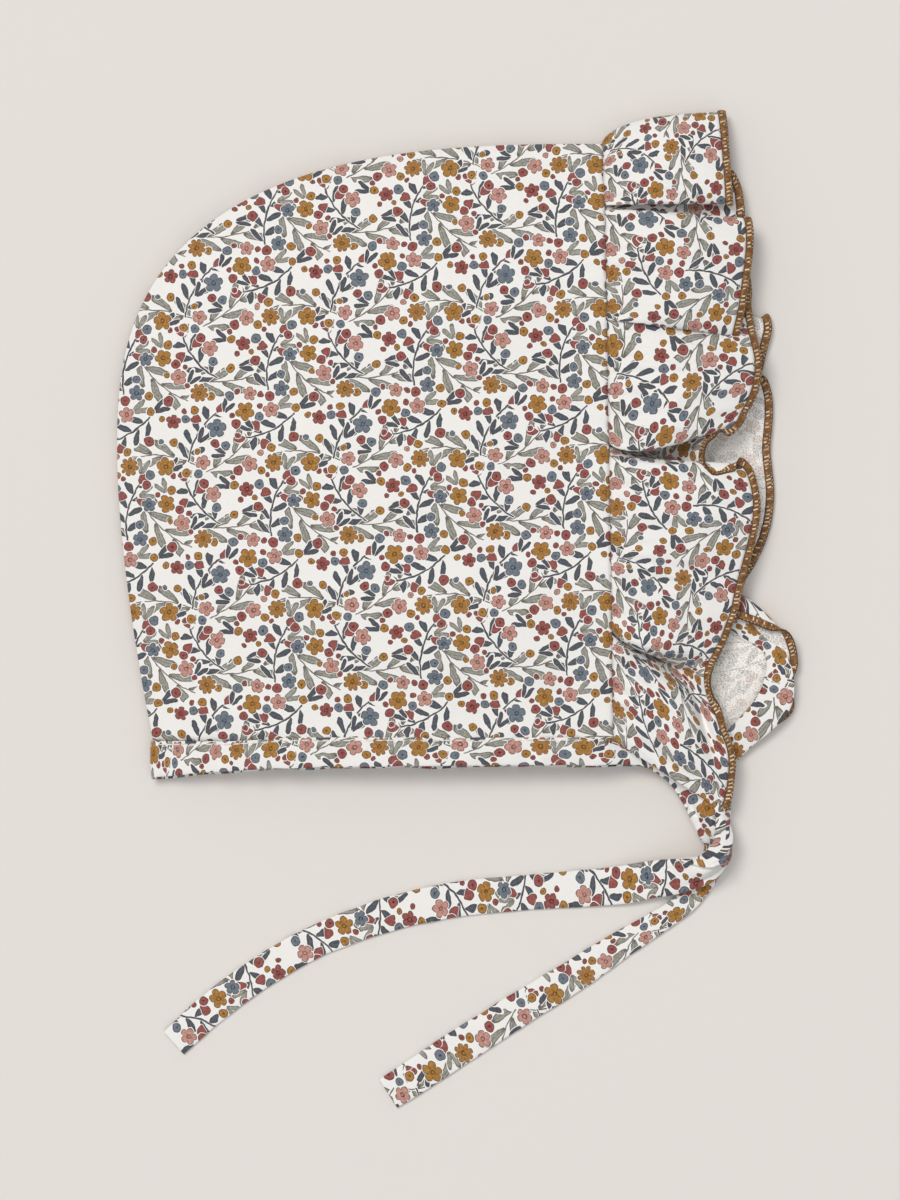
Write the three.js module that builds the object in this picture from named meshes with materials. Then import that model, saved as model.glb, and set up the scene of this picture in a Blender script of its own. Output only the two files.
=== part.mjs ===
// A baby's bonnet of printed cotton, laid flat on its left side with its ties trailing.
// Two side panels are sewn together round the crown, a gathered ruffle is sewn along the face edge,
// and a folded binding closes the neck edge and ends in two ties.
// Millimetres. +X runs from the back of the crown to the face, +Y from the neck to the crown,
// and +Z up from the surface that the bonnet lies on.
import * as THREE from 'three';

// Walls of cloth
const PANEL_WALL = 1;
const RUFFLE_WALL = 1;
const BINDING_WALL = 1.4;
const SEAM_GAP = 0.3;

// Side panels, as they lie
const PANEL_DEPTH = 141.7;
const CROWN_RISE = 94;
const CROWN_POWER = 2.8;
const WIDEST_Y = 40.6;
const NAPE_TAPER = 9;
const NAPE_TAPER_POWER = 1.6;
const FACE_SEAM_TOP_X = 41.8;
const FACE_SEAM_LEAN = 2.9;
const NECK_SEAM_Y = -37.7;
const CROWN_SEAM_HALF_GAP = 0.75;
const CROWN_SEAM_Z = 3.9;
const CORNER_ANGLE = THREE.MathUtils.degToRad(32);

// How far the upper side stands off the lower one
const PUFF = 13;
const PUFF_POWER = 4;
const NECK_DROOP = 0.4;
const NECK_DROOP_REACH = 45;
const FACE_DROOP = 0.15;
const FACE_DROOP_REACH = 45;
const SEAM_CURL_START = 0.5;
const SEAM_CURL_POWER = 4;

// Ruffle and its overlocked edge
const CREST_ROOM = 0.4;
const GATHER_PITCH = 12.5;
const GATHER_DEPTH = 0.55;
const STEPS_PER_FOLD = 2;
const STEPS_ACROSS_RUFFLE = 7;
const EDGING_GAP = 0.5;
const EDGING_WIDTH = 2.6;
const EDGING_THICKNESS = 1;

// Neck binding
const BINDING_HEIGHT = 8.8;
const BINDING_SAG = 1.4;
const BINDING_FRONT_X = 50.4;
const BINDING_DIP = 3.2;
const BINDING_DIP_START_X = 38;
const BINDING_DIP_REACH = 11;

const COLOURS = { print: 0xefe9e4, thread: 0xa86f2c };

// The ruffle's folds along its edge, from the near neck end over the crown to the far neck end.
// seam is where the fold starts on the face seam, x y z its outer edge, lift how far it bellies up
// between them, curl how far it rolls past its edge, and side 1 on the upper panel, 0 on the lower.
const RUFFLE_FOLDS = [
  { fold: 'near_end', side: 1, seam: -37.3, x: 76, y: -56.4, z: 7.8, lift: 1.2, curl: 0 },
  { fold: 'tail_edge', side: 1, seam: -35.4, x: 78.2, y: -48.7, z: 8.6, lift: 1.4, curl: 0 },
  { fold: 'tail_ridge', side: 1, seam: -32.5, x: 77.8, y: -40.6, z: 9.5, lift: 2, curl: 0 },
  { fold: 'tail_slope', side: 1, seam: -29.3, x: 74, y: -31.6, z: 9.5, lift: 1.5, curl: 0 },
  { fold: 'tail_hollow', side: 1, seam: -26.1, x: 71, y: -23.8, z: 8.5, lift: -1.5, curl: 0 },
  { fold: 'tail_rise', side: 1, seam: -22.6, x: 72.1, y: -15.7, z: 8.5, lift: -1.5, curl: 0 },
  { fold: 'low_ridge', side: 1, seam: -18, x: 76.4, y: -8.1, z: 9, lift: 1.5, curl: 0 },
  { fold: 'low_slope', side: 1, seam: -12.2, x: 80, y: -0.6, z: 9.5, lift: 2.5, curl: 0 },
  { fold: 'waist', side: 1, seam: -5.8, x: 81.7, y: 6.4, z: 9, lift: 2, curl: 0 },
  { fold: 'full_low', side: 1, seam: 2.3, x: 83.2, y: 14.5, z: 9.5, lift: 2, curl: 0 },
  { fold: 'full', side: 1, seam: 10.4, x: 84.3, y: 22.9, z: 10, lift: 2, curl: 0 },
  { fold: 'full_high', side: 1, seam: 18.6, x: 84.9, y: 31, z: 10.5, lift: 2, curl: 0 },
  { fold: 'curl_low', side: 1, seam: 25.5, x: 83.7, y: 37.4, z: 10, lift: 1.5, curl: 0 },
  { fold: 'curl_turn', side: 1, seam: 30.2, x: 80.3, y: 41.2, z: 9, lift: 0.5, curl: 0 },
  { fold: 'curl_back', side: 1, seam: 33.6, x: 75.8, y: 40.8, z: 7.5, lift: -1, curl: 0 },
  { fold: 'hollow_low', side: 1, seam: 36.5, x: 71, y: 42, z: 6, lift: -2.5, curl: 0 },
  { fold: 'hollow', side: 1, seam: 39.4, x: 69.9, y: 45.8, z: 5.5, lift: -3, curl: 0 },
  { fold: 'hollow_high', side: 1, seam: 42.6, x: 71.8, y: 49.6, z: 6, lift: -2.5, curl: 0 },
  { fold: 'lip_back', side: 1, seam: 46.4, x: 77, y: 52.8, z: 7.5, lift: -1, curl: 0 },
  { fold: 'lip', side: 1, seam: 50.5, x: 81.7, y: 57.4, z: 9.5, lift: 1, curl: 0 },
  { fold: 'third_low', side: 1, seam: 56.8, x: 84.6, y: 62.9, z: 11, lift: 2.5, curl: 0 },
  { fold: 'third', side: 1, seam: 63.8, x: 84.9, y: 69.9, z: 11.5, lift: 3, curl: 0 },
  { fold: 'third_top', side: 1, seam: 70.3, x: 83.4, y: 75.4, z: 10.8, lift: 3, curl: 0 },
  { fold: 'pleat_2_under', side: 1, seam: 73.4, x: 82.6, y: 75.6, z: 7.8, lift: 1, curl: 0 },
  { fold: 'pleat_2_low', side: 1, seam: 75.2, x: 82.2, y: 77.4, z: 5.6, lift: 0, curl: 0 },
  { fold: 'pleat_2_mid', side: 1, seam: 76.8, x: 82.2, y: 81.2, z: 5, lift: 0, curl: 0 },
  { fold: 'pleat_2_high', side: 1, seam: 78.2, x: 82, y: 83.6, z: 5.6, lift: 0, curl: 0 },
  { fold: 'pleat_2_turn', side: 1, seam: 79.2, x: 81, y: 82.4, z: 7.2, lift: 0.6, curl: 0 },
  { fold: 'second_low', side: 1, seam: 80.6, x: 80.2, y: 80.6, z: 8.8, lift: 1.6, curl: 0 },
  { fold: 'second_rise', side: 1, seam: 82.4, x: 80.2, y: 81.8, z: 11, lift: 2.4, curl: 0 },
  { fold: 'second', side: 1, seam: 87, x: 81.1, y: 89.6, z: 11.6, lift: 3, curl: 0 },
  { fold: 'second_mid', side: 1, seam: 95.1, x: 82.4, y: 100.9, z: 11, lift: 3, curl: 0 },
  { fold: 'second_top', side: 1, seam: 103.3, x: 82.6, y: 111.2, z: 10.3, lift: 3, curl: 0 },
  { fold: 'pleat_1_under', side: 1, seam: 106.4, x: 81.7, y: 111.4, z: 7.6, lift: 1, curl: 0 },
  { fold: 'pleat_1_low', side: 1, seam: 108.2, x: 81.2, y: 113.2, z: 5.5, lift: 0, curl: 0 },
  { fold: 'pleat_1_mid', side: 1, seam: 109.8, x: 81.2, y: 117, z: 4.9, lift: 0, curl: 0 },
  { fold: 'pleat_1_high', side: 1, seam: 111.2, x: 80.8, y: 119.4, z: 5.5, lift: 0, curl: 0 },
  { fold: 'pleat_1_turn', side: 1, seam: 112.2, x: 80, y: 118.2, z: 7, lift: 0.6, curl: 0 },
  { fold: 'first_low', side: 1, seam: 113.6, x: 79.3, y: 116.4, z: 8.4, lift: 1.6, curl: 0 },
  { fold: 'first_rise', side: 1, seam: 115.4, x: 79.1, y: 117.6, z: 10.5, lift: 2.4, curl: 0 },
  { fold: 'first', side: 1, seam: 119.8, x: 77.7, y: 124, z: 11, lift: 3, curl: 0 },
  { fold: 'first_mid', side: 1, seam: 125.9, x: 76.2, y: 134, z: 8.5, lift: 2.5, curl: 0 },
  { fold: 'first_top', side: 1, seam: 131, x: 75, y: 142.1, z: 6.5, lift: 1, curl: 0 },
  { fold: 'crest_high', side: 1, seam: 134.2, x: 74.8, y: 143.6, z: 5.4, lift: 0, curl: 0 },
  { fold: 'crest', side: 0.5, seam: 135.4, x: 74.7, y: 144.1, z: 4.2, lift: 0, curl: 0 },
  { fold: 'crest_low', side: 0, seam: 134.2, x: 74.7, y: 143.4, z: 3, lift: 0, curl: 0 },
  { fold: 'far_top', side: 0, seam: 131, x: 74.4, y: 141.5, z: 2.2, lift: 0, curl: 0 },
  { fold: 'far_first', side: 0, seam: 121.8, x: 75.4, y: 130.5, z: 1.4, lift: 0, curl: 0 },
  { fold: 'far_first_low', side: 0, seam: 111.6, x: 76.8, y: 117.4, z: 1.2, lift: 0, curl: 0 },
  { fold: 'far_second', side: 0, seam: 100.9, x: 80, y: 102.1, z: 1.4, lift: 0.2, curl: 0 },
  { fold: 'far_tip_top', side: 0, seam: 91.1, x: 84.7, y: 89.9, z: 2, lift: 0.3, curl: 0 },
  { fold: 'far_tip', side: 0, seam: 84.7, x: 87, y: 84.4, z: 2.2, lift: 0.3, curl: 0 },
  { fold: 'far_tip_low', side: 0, seam: 76.8, x: 86.1, y: 75.4, z: 1.8, lift: 0.2, curl: 0 },
  { fold: 'far_notch', side: 0, seam: 69, x: 85.2, y: 67.3, z: 1.4, lift: 0.1, curl: 0 },
  { fold: 'far_third', side: 0, seam: 62.3, x: 88.1, y: 61.8, z: 2, lift: 0.3, curl: 0 },
  { fold: 'far_full', side: 0, seam: 49.3, x: 88.1, y: 49.3, z: 1.8, lift: 0.3, curl: 0 },
  { fold: 'far_full_low', side: 0, seam: 35.4, x: 89, y: 34.2, z: 1.6, lift: 0.2, curl: 0 },
  { fold: 'far_slope', side: 0, seam: 23.2, x: 87.9, y: 23.2, z: 1.5, lift: 0.2, curl: 0 },
  { fold: 'far_waist_top', side: 0, seam: 10.1, x: 83.5, y: 13.9, z: 1.4, lift: 0, curl: 0 },
  { fold: 'far_waist', side: 0, seam: -1.4, x: 80.9, y: 5.8, z: 1.8, lift: 0.2, curl: 0 },
  { fold: 'roll_top', side: 0, seam: -10.5, x: 87.8, y: -1.6, z: 3.2, lift: 0.3, curl: 1 },
  { fold: 'roll', side: 0, seam: -18.5, x: 92.9, y: -10.4, z: 3.4, lift: 0.4, curl: 1 },
  { fold: 'roll_low', side: 0, seam: -25.5, x: 95, y: -18.6, z: 2.8, lift: 0.5, curl: 0.5 },
  { fold: 'tuck_top', side: 0, seam: -31, x: 94.2, y: -26.4, z: 2, lift: 0.5, curl: 0 },
  { fold: 'tuck', side: 0, seam: -35, x: 90.2, y: -31.6, z: 1.6, lift: 0.5, curl: 0 },
  { fold: 'far_end', side: 0, seam: -37.3, x: 84.4, y: -35.4, z: 1.5, lift: 0.5, curl: 0 },
];

// The ties from their sewn ends to their free ends: centre, width, thickness and roll in degrees.
const NEAR_TIE = [
  { at: 'binding', x: 52, y: -42.3, z: 7, width: 8.4, thick: 1.6, roll: 0 },
  { at: 'under_ruffle', x: 57.5, y: -45, z: 5.9, width: 8.8, thick: 1.8, roll: 4 },
  { at: 'gather', x: 64.2, y: -49.8, z: 5.1, width: 9.2, thick: 2.2, roll: 14 },
  { at: 'slope', x: 69.4, y: -56.6, z: 5, width: 9.2, thick: 2.8, roll: 30 },
  { at: 'twist', x: 73.4, y: -63.5, z: 6.4, width: 9, thick: 3.4, roll: 55 },
  { at: 'twist_low', x: 74.6, y: -70, z: 7, width: 8.2, thick: 3.6, roll: 90 },
  { at: 'turn', x: 71.8, y: -75.4, z: 7.1, width: 8, thick: 3.6, roll: 128 },
  { at: 'turn_out', x: 65.4, y: -77.2, z: 5.5, width: 10, thick: 2.4, roll: 163 },
  { at: 'fall', x: 55.7, y: -78.5, z: 3.2, width: 11, thick: 1.8, roll: 178 },
  { at: 'touch', x: 46, y: -79.8, z: 1.7, width: 10.8, thick: 1.4, roll: 180 },
  { at: 'run', x: 34.5, y: -80.8, z: 0.8, width: 10.6, thick: 1.4, roll: 180 },
  { at: 'bend', x: 17, y: -82.1, z: 0.7, width: 10.2, thick: 1.4, roll: 180 },
  { at: 'bow', x: -2.3, y: -84.2, z: 0.7, width: 10.2, thick: 1.4, roll: 180 },
  { at: 'bow_low', x: -21.7, y: -88.7, z: 0.7, width: 9.8, thick: 1.4, roll: 180 },
  { at: 'sweep', x: -41, y: -96, z: 0.7, width: 9.3, thick: 1.4, roll: 180 },
  { at: 'sweep_low', x: -57, y: -105, z: 0.7, width: 9.3, thick: 1.4, roll: 180 },
  { at: 'last', x: -71, y: -115.2, z: 0.7, width: 9.3, thick: 1.4, roll: 180 },
  { at: 'tip', x: -82.4, y: -125.5, z: 0.7, width: 8.8, thick: 1.4, roll: 180 },
];
const FAR_TIE = [
  { at: 'ruffle_end', x: 94.4, y: -14.8, z: 5, width: 8, thick: 1.4, roll: 0 },
  { at: 'over_tail', x: 93.2, y: -21.8, z: 4.9, width: 8.8, thick: 1.4, roll: 0 },
  { at: 'over_edge', x: 89.4, y: -29.6, z: 4.4, width: 9, thick: 1.4, roll: 0 },
  { at: 'drop', x: 83.2, y: -37.4, z: 3.6, width: 8.4, thick: 1.5, roll: 0 },
  { at: 'floor', x: 78.2, y: -45.6, z: 1.6, width: 7, thick: 1.8, roll: 0 },
  { at: 'under_ruffle', x: 77.4, y: -54.4, z: 1.1, width: 7, thick: 2, roll: 0 },
  { at: 'under_twist', x: 76, y: -63, z: 1, width: 6.8, thick: 2, roll: 0 },
  { at: 'under_turn', x: 74, y: -72, z: 1, width: 6.8, thick: 2, roll: 0 },
  { at: 'out', x: 70.6, y: -79.2, z: 1, width: 6.6, thick: 2, roll: 0 },
  { at: 'narrow', x: 65.4, y: -85.1, z: 0.95, width: 6.4, thick: 1.9, roll: 0 },
  { at: 'narrow_low', x: 55.7, y: -91.8, z: 0.8, width: 6.8, thick: 1.6, roll: 0 },
  { at: 'run', x: 46, y: -97.8, z: 0.75, width: 8.2, thick: 1.5, roll: 0 },
  { at: 'run_low', x: 36.3, y: -104.3, z: 0.7, width: 9.2, thick: 1.4, roll: 0 },
  { at: 'bend', x: 17, y: -116.2, z: 0.7, width: 9.8, thick: 1.4, roll: 0 },
  { at: 'sweep', x: -2.3, y: -128.5, z: 0.7, width: 10.3, thick: 1.4, roll: 0 },
  { at: 'last', x: -11.5, y: -134.6, z: 0.7, width: 10.2, thick: 1.4, roll: 0 },
  { at: 'tip', x: -20.2, y: -140.2, z: 0.7, width: 9.8, thick: 1.4, roll: 0 },
];
const STEPS_PER_TIE_ROW = 3;

const { lerp, clamp, smoothstep, degToRad } = THREE.MathUtils;

// Where the face seam runs: it leans forward towards the neck.
function faceSeamX(y) {
  const down = (WIDEST_Y + CROWN_RISE - y) / (WIDEST_Y + CROWN_RISE - NECK_SEAM_Y);
  return FACE_SEAM_TOP_X + FACE_SEAM_LEAN * down;
}

function panelDepth(y) {
  const down = clamp((WIDEST_Y - y) / (WIDEST_Y - NECK_SEAM_Y), 0, 1);
  return PANEL_DEPTH - NAPE_TAPER * down ** NAPE_TAPER_POWER;
}

// 0 at the face seam, 1 on the crown seam.
function towardsCrownSeam(x, y) {
  const back = Math.max(0, faceSeamX(y) - x);
  if (y < WIDEST_Y) return back / panelDepth(y);
  const across = (back / PANEL_DEPTH) ** CROWN_POWER;
  const up = ((y - WIDEST_Y) / CROWN_RISE) ** CROWN_POWER;
  return (across + up) ** (1 / CROWN_POWER);
}

// Middle of the upper side's cloth: a pillow that sinks a little at the neck and the face.
function upperHeight(x, y) {
  const pillow = 1 - Math.min(1, towardsCrownSeam(x, y)) ** PUFF_POWER;
  const neck = 1 - NECK_DROOP * (1 - smoothstep(y, NECK_SEAM_Y - BINDING_HEIGHT, NECK_SEAM_Y + NECK_DROOP_REACH));
  const face = 1 - FACE_DROOP * smoothstep(x, FACE_SEAM_TOP_X - FACE_DROOP_REACH, FACE_SEAM_TOP_X);
  return CROWN_SEAM_Z + CROWN_SEAM_HALF_GAP + PUFF * pillow * neck * face;
}

// Middle of the lower side's cloth: flat on the surface, curling up to the crown seam.
function lowerHeight(x, y, wall) {
  const nearSeam = (towardsCrownSeam(x, y) - SEAM_CURL_START) / (1 - SEAM_CURL_START);
  const curl = clamp(nearSeam, 0, 1) ** SEAM_CURL_POWER;
  return lerp(wall / 2, CROWN_SEAM_Z - CROWN_SEAM_HALF_GAP, curl);
}

// A wall of cloth over a grid of points in its middle: two skins joined by a rim.
function clothWall(columns, rows, pointAt, wall) {
  const middle = [];
  for (let j = 0; j <= rows; j++) {
    for (let i = 0; i <= columns; i++) middle.push(pointAt(i / columns, j / rows));
  }
  const at = (i, j) => middle[clamp(j, 0, rows) * (columns + 1) + clamp(i, 0, columns)];
  const positions = [];
  for (const skin of [1, -1]) {
    for (let j = 0; j <= rows; j++) {
      for (let i = 0; i <= columns; i++) {
        const along = at(i + 1, j).clone().sub(at(i - 1, j));
        const across = at(i, j + 1).clone().sub(at(i, j - 1));
        const normal = along.cross(across).normalize();
        positions.push(...at(i, j).clone().addScaledVector(normal, (skin * wall) / 2).toArray());
      }
    }
  }
  const count = (columns + 1) * (rows + 1);
  const vertex = (i, j, skin) => skin * count + j * (columns + 1) + i;
  const index = [];
  for (let j = 0; j < rows; j++) {
    for (let i = 0; i < columns; i++) {
      const [a, b, c, d] = [vertex(i, j, 0), vertex(i + 1, j, 0), vertex(i + 1, j + 1, 0), vertex(i, j + 1, 0)];
      index.push(a, b, c, a, c, d);
      index.push(a + count, c + count, b + count, a + count, d + count, c + count);
    }
  }
  const rim = [];
  for (let i = 0; i < columns; i++) rim.push(vertex(i, 0, 0));
  for (let j = 0; j < rows; j++) rim.push(vertex(columns, j, 0));
  for (let i = columns; i > 0; i--) rim.push(vertex(i, rows, 0));
  for (let j = rows; j > 0; j--) rim.push(vertex(0, j, 0));
  rim.forEach((p, k) => {
    const q = rim[(k + 1) % rim.length];
    index.push(p, p + count, q + count, p, q + count, q);
  });
  return solidGeometry(positions, index);
}

// A strip with a rounded flat section, swept through frames of centre, across and through.
function sweptStrip(frames, sides) {
  const positions = [];
  for (const { centre, across, through } of frames) {
    for (let k = 0; k < sides; k++) {
      const angle = ((k + 0.5) / sides) * Math.PI * 2;
      const point = centre.clone();
      point.addScaledVector(across, Math.sign(Math.cos(angle)) * Math.abs(Math.cos(angle)) ** 0.5);
      point.addScaledVector(through, Math.sign(Math.sin(angle)) * Math.abs(Math.sin(angle)) ** 0.7);
      positions.push(...point.toArray());
    }
  }
  const index = [];
  for (let i = 0; i + 1 < frames.length; i++) {
    for (let k = 0; k < sides; k++) {
      const [a, b] = [i * sides + k, i * sides + ((k + 1) % sides)];
      index.push(a, b, b + sides, a, b + sides, a + sides);
    }
  }
  const last = (frames.length - 1) * sides;
  for (let k = 1; k + 1 < sides; k++) index.push(0, k + 1, k, last, last + k, last + k + 1);
  return solidGeometry(positions, index);
}

function solidGeometry(positions, index) {
  const geometry = new THREE.BufferGeometry();
  geometry.setAttribute('position', new THREE.Float32BufferAttribute(positions, 3));
  geometry.setIndex(index);
  geometry.computeVertexNormals();
  return geometry;
}

// Smooth values between the rows of a table of points, for a column and a place counted in rows.
function smoothTable(table) {
  const last = table.length - 1;
  const gaps = [];
  for (let i = 0; i < last; i++) {
    const [a, b] = [table[i], table[i + 1]];
    gaps.push(Math.sqrt(Math.hypot(b.x - a.x, b.y - a.y, b.z - a.z)));
  }
  const rise = (key, i) => (table[i + 1][key] - table[i][key]) / gaps[i];
  const slope = (key, i) => {
    if (i === 0) return rise(key, 0);
    if (i === last) return rise(key, last - 1);
    return (rise(key, i - 1) * gaps[i] + rise(key, i) * gaps[i - 1]) / (gaps[i - 1] + gaps[i]);
  };
  return (key, place) => {
    const i = clamp(Math.floor(place), 0, last - 1);
    const t = place - i;
    const [a, b] = [table[i][key], table[i + 1][key]];
    const [p, q] = [slope(key, i) * gaps[i], slope(key, i + 1) * gaps[i]];
    return a + t * (p + t * (3 * (b - a) - 2 * p - q + t * (2 * (a - b) + p + q)));
  };
}

// A point of a side panel: a patch stretched between the neck, face and crown seams.
function panelPlan(u, v) {
  const neckY = NECK_SEAM_Y + SEAM_GAP / 2;
  const topY = WIDEST_Y + CROWN_RISE;
  const onSeam = (angle) => {
    const across = (Math.cos(angle) / PANEL_DEPTH) ** CROWN_POWER;
    const up = (Math.sin(angle) / CROWN_RISE) ** CROWN_POWER;
    const reach = (across + up) ** (-1 / CROWN_POWER);
    const y = WIDEST_Y + reach * Math.sin(angle);
    return new THREE.Vector2(faceSeamX(y) - reach * Math.cos(angle), y);
  };
  const onBack = (t) => {
    if (t > 0.5) return onSeam((t - 0.5) * 2 * CORNER_ANGLE);
    const y = lerp(neckY, WIDEST_Y, t * 2);
    return new THREE.Vector2(faceSeamX(y) - panelDepth(y), y);
  };
  const onTop = (t) => onSeam(lerp(CORNER_ANGLE, Math.PI / 2, t));
  const onFace = (t) => {
    const y = lerp(neckY, topY, t);
    return new THREE.Vector2(faceSeamX(y), y);
  };
  const [neckBack, neckFace, crownFace, corner] = [onBack(0), onFace(0), onTop(1), onTop(0)];
  const plan = new THREE.Vector2();
  plan.addScaledVector(neckBack, (1 - v) * (1 - u)).addScaledVector(neckFace, (1 - v) * u);
  plan.addScaledVector(onTop(u), v).addScaledVector(onBack(v), 1 - u).addScaledVector(onFace(v), u);
  plan.addScaledVector(neckBack, -(1 - u) * (1 - v)).addScaledVector(neckFace, -u * (1 - v));
  plan.addScaledVector(crownFace, -u * v).addScaledVector(corner, -(1 - u) * v);
  return plan;
}

const PANEL_STEPS = 18;
const EDGE_CROWDING = 1.5;

function sidePanel(heightAt) {
  return clothWall(PANEL_STEPS, PANEL_STEPS, (a, b) => {
    const plan = panelPlan(a ** EDGE_CROWDING, 1 - (1 - b) ** EDGE_CROWDING);
    return new THREE.Vector3(plan.x - SEAM_GAP / 2, plan.y, heightAt(plan.x, plan.y));
  }, PANEL_WALL);
}

const foldValue = smoothTable(RUFFLE_FOLDS);

// A point of the ruffle: place counts along its folds, out is 0 at the seam and 1 at the edge.
function rufflePoint(place, out) {
  const value = (key) => foldValue(key, place);
  const seamY = value('seam');
  const seamX = faceSeamX(seamY);
  const seamZ = lerp(lowerHeight(seamX, seamY, RUFFLE_WALL), upperHeight(seamX, seamY) + CREST_ROOM, value('side'));
  const seam = new THREE.Vector3(seamX + SEAM_GAP / 2, seamY, seamZ);
  const edge = new THREE.Vector3(value('x'), value('y'), value('z'));
  const point = seam.clone().lerp(edge, out);
  const outward = edge.clone().sub(seam).setZ(0).normalize();
  const belly = 4 * out * (1 - out);
  const belowCrest = WIDEST_Y + CROWN_RISE - seamY;
  const gathers = Math.sin((seamY / GATHER_PITCH) * Math.PI * 2) * GATHER_DEPTH * value('side') * smoothstep(belowCrest, 2, 14);
  const rolled = Math.max(0, out - 0.5) * (1 - out) * 8;
  point.addScaledVector(outward, value('curl') * rolled);
  point.z += value('lift') * belly + gathers * belly * (1 - out) * 2;
  return point;
}

function ruffle() {
  const folds = RUFFLE_FOLDS.length - 1;
  const along = (a) => (1 - a) * folds;
  return clothWall(STEPS_ACROSS_RUFFLE, folds * STEPS_PER_FOLD, (a, b) => rufflePoint(along(b), a), RUFFLE_WALL);
}

// The overlocked edge: a flat bead that carries the ruffle's line on past its raw edge.
function ruffleEdging() {
  const folds = RUFFLE_FOLDS.length - 1;
  const frames = [];
  for (let step = 0; step <= folds * STEPS_PER_FOLD; step++) {
    const place = step / STEPS_PER_FOLD;
    const edge = rufflePoint(place, 1);
    const out = edge.clone().sub(rufflePoint(place, 0)).setZ(0).normalize();
    const ahead = rufflePoint(Math.min(folds, place + 0.2), 1);
    const tangent = ahead.sub(rufflePoint(Math.max(0, place - 0.2), 1)).normalize();
    const through = tangent.clone().cross(out).normalize();
    out.copy(through).cross(tangent).normalize();
    const centre = edge.addScaledVector(out, EDGING_GAP + EDGING_WIDTH / 2);
    frames.push({
      centre,
      across: out.multiplyScalar(EDGING_WIDTH / 2),
      through: through.multiplyScalar(EDGING_THICKNESS / 2),
    });
  }
  return sweptStrip(frames, 6);
}

// The neck binding: down the upper side, round the nape and back along the lower side.
function neckBinding() {
  const steps = 44;
  const topY = NECK_SEAM_Y - SEAM_GAP / 2;
  const napeX = faceSeamX(topY) - panelDepth(topY) - CROWN_SEAM_HALF_GAP;
  return clothWall(2, steps, (a, b) => {
    const upper = b < 0.5;
    const toNape = 1 - Math.abs(2 * b - 1) ** 1.2;
    const x = lerp(BINDING_FRONT_X, napeX, toNape);
    const y = topY - a * (BINDING_HEIGHT + BINDING_SAG * toNape);
    if (b === 0.5) return new THREE.Vector3(x, y, CROWN_SEAM_Z);
    const dip = BINDING_DIP * smoothstep(x, BINDING_DIP_START_X, BINDING_DIP_START_X + BINDING_DIP_REACH);
    const z = upper ? upperHeight(x, y) + 0.2 - dip : lowerHeight(x, y, BINDING_WALL);
    return new THREE.Vector3(x, y, z);
  }, BINDING_WALL);
}

function tie(table) {
  const last = table.length - 1;
  const value = smoothTable(table);
  const centreAt = (place) => new THREE.Vector3(value('x', place), value('y', place), value('z', place));
  const frames = [];
  for (let step = 0; step <= last * STEPS_PER_TIE_ROW; step++) {
    const place = step / STEPS_PER_TIE_ROW;
    const tangent = centreAt(Math.min(last, place + 0.1)).sub(centreAt(Math.max(0, place - 0.1))).normalize();
    const across = new THREE.Vector3(0, 0, 1).cross(tangent).normalize();
    across.applyAxisAngle(tangent, degToRad(value('roll', place)));
    const through = tangent.clone().cross(across);
    frames.push({
      centre: centreAt(place),
      across: across.multiplyScalar(value('width', place) / 2),
      through: through.multiplyScalar(value('thick', place) / 2),
    });
  }
  return sweptStrip(frames, 8);
}

const printedCotton = new THREE.MeshStandardMaterial({ color: COLOURS.print, roughness: 0.9, metalness: 0 });
const edgingThread = new THREE.MeshStandardMaterial({ color: COLOURS.thread, roughness: 0.7, metalness: 0 });

function piece(name, geometry, material) {
  const mesh = new THREE.Mesh(geometry, material);
  mesh.name = name;
  return mesh;
}

const bonnet = new THREE.Group();
bonnet.add(
  piece('panel_upper', sidePanel(upperHeight), printedCotton),
  piece('panel_lower', sidePanel((x, y) => lowerHeight(x, y, PANEL_WALL)), printedCotton),
  piece('ruffle', ruffle(), printedCotton),
  piece('ruffle_edging', ruffleEdging(), edgingThread),
  piece('neck_binding', neckBinding(), printedCotton),
  piece('tie_upper', tie(NEAR_TIE), printedCotton),
  piece('tie_lower', tie(FAR_TIE), printedCotton),
);
// The origin is on the surface under the middle of the whole bonnet.
const extent = new THREE.Box3().setFromObject(bonnet);
const middle = extent.getCenter(new THREE.Vector3());
bonnet.position.set(-middle.x, -middle.y, -extent.min.z);

export default bonnet;
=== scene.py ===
import bisect
import math

import bmesh
import bpy
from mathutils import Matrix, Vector, noise


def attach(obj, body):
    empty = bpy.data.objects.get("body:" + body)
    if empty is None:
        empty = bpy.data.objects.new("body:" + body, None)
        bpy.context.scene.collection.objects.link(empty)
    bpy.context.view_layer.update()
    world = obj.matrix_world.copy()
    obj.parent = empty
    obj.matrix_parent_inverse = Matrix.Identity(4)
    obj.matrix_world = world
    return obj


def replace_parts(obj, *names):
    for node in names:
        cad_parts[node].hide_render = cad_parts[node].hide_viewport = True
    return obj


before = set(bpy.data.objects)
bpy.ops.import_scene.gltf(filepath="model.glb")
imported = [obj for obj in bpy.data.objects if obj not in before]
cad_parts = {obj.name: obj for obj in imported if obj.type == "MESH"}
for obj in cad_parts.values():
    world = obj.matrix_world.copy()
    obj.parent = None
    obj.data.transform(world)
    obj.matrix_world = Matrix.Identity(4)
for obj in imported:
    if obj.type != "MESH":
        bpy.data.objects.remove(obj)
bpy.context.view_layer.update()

# Camera and light. The bonnet is seen from straight above, in a frame of 261 by 348 mm.
# A broad soft lamp stands far off at the upper left, with weak ones overhead and at the lower right,
# and a pale surround fills the shadows.
MM = 0.001
FRAME_HEIGHT = 348 * MM
FRAME_MIDDLE = Vector((-2.07, 2.4, 0)) * MM
CAMERA_HEIGHT = 1.4
SENSOR_HEIGHT = 24

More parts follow.
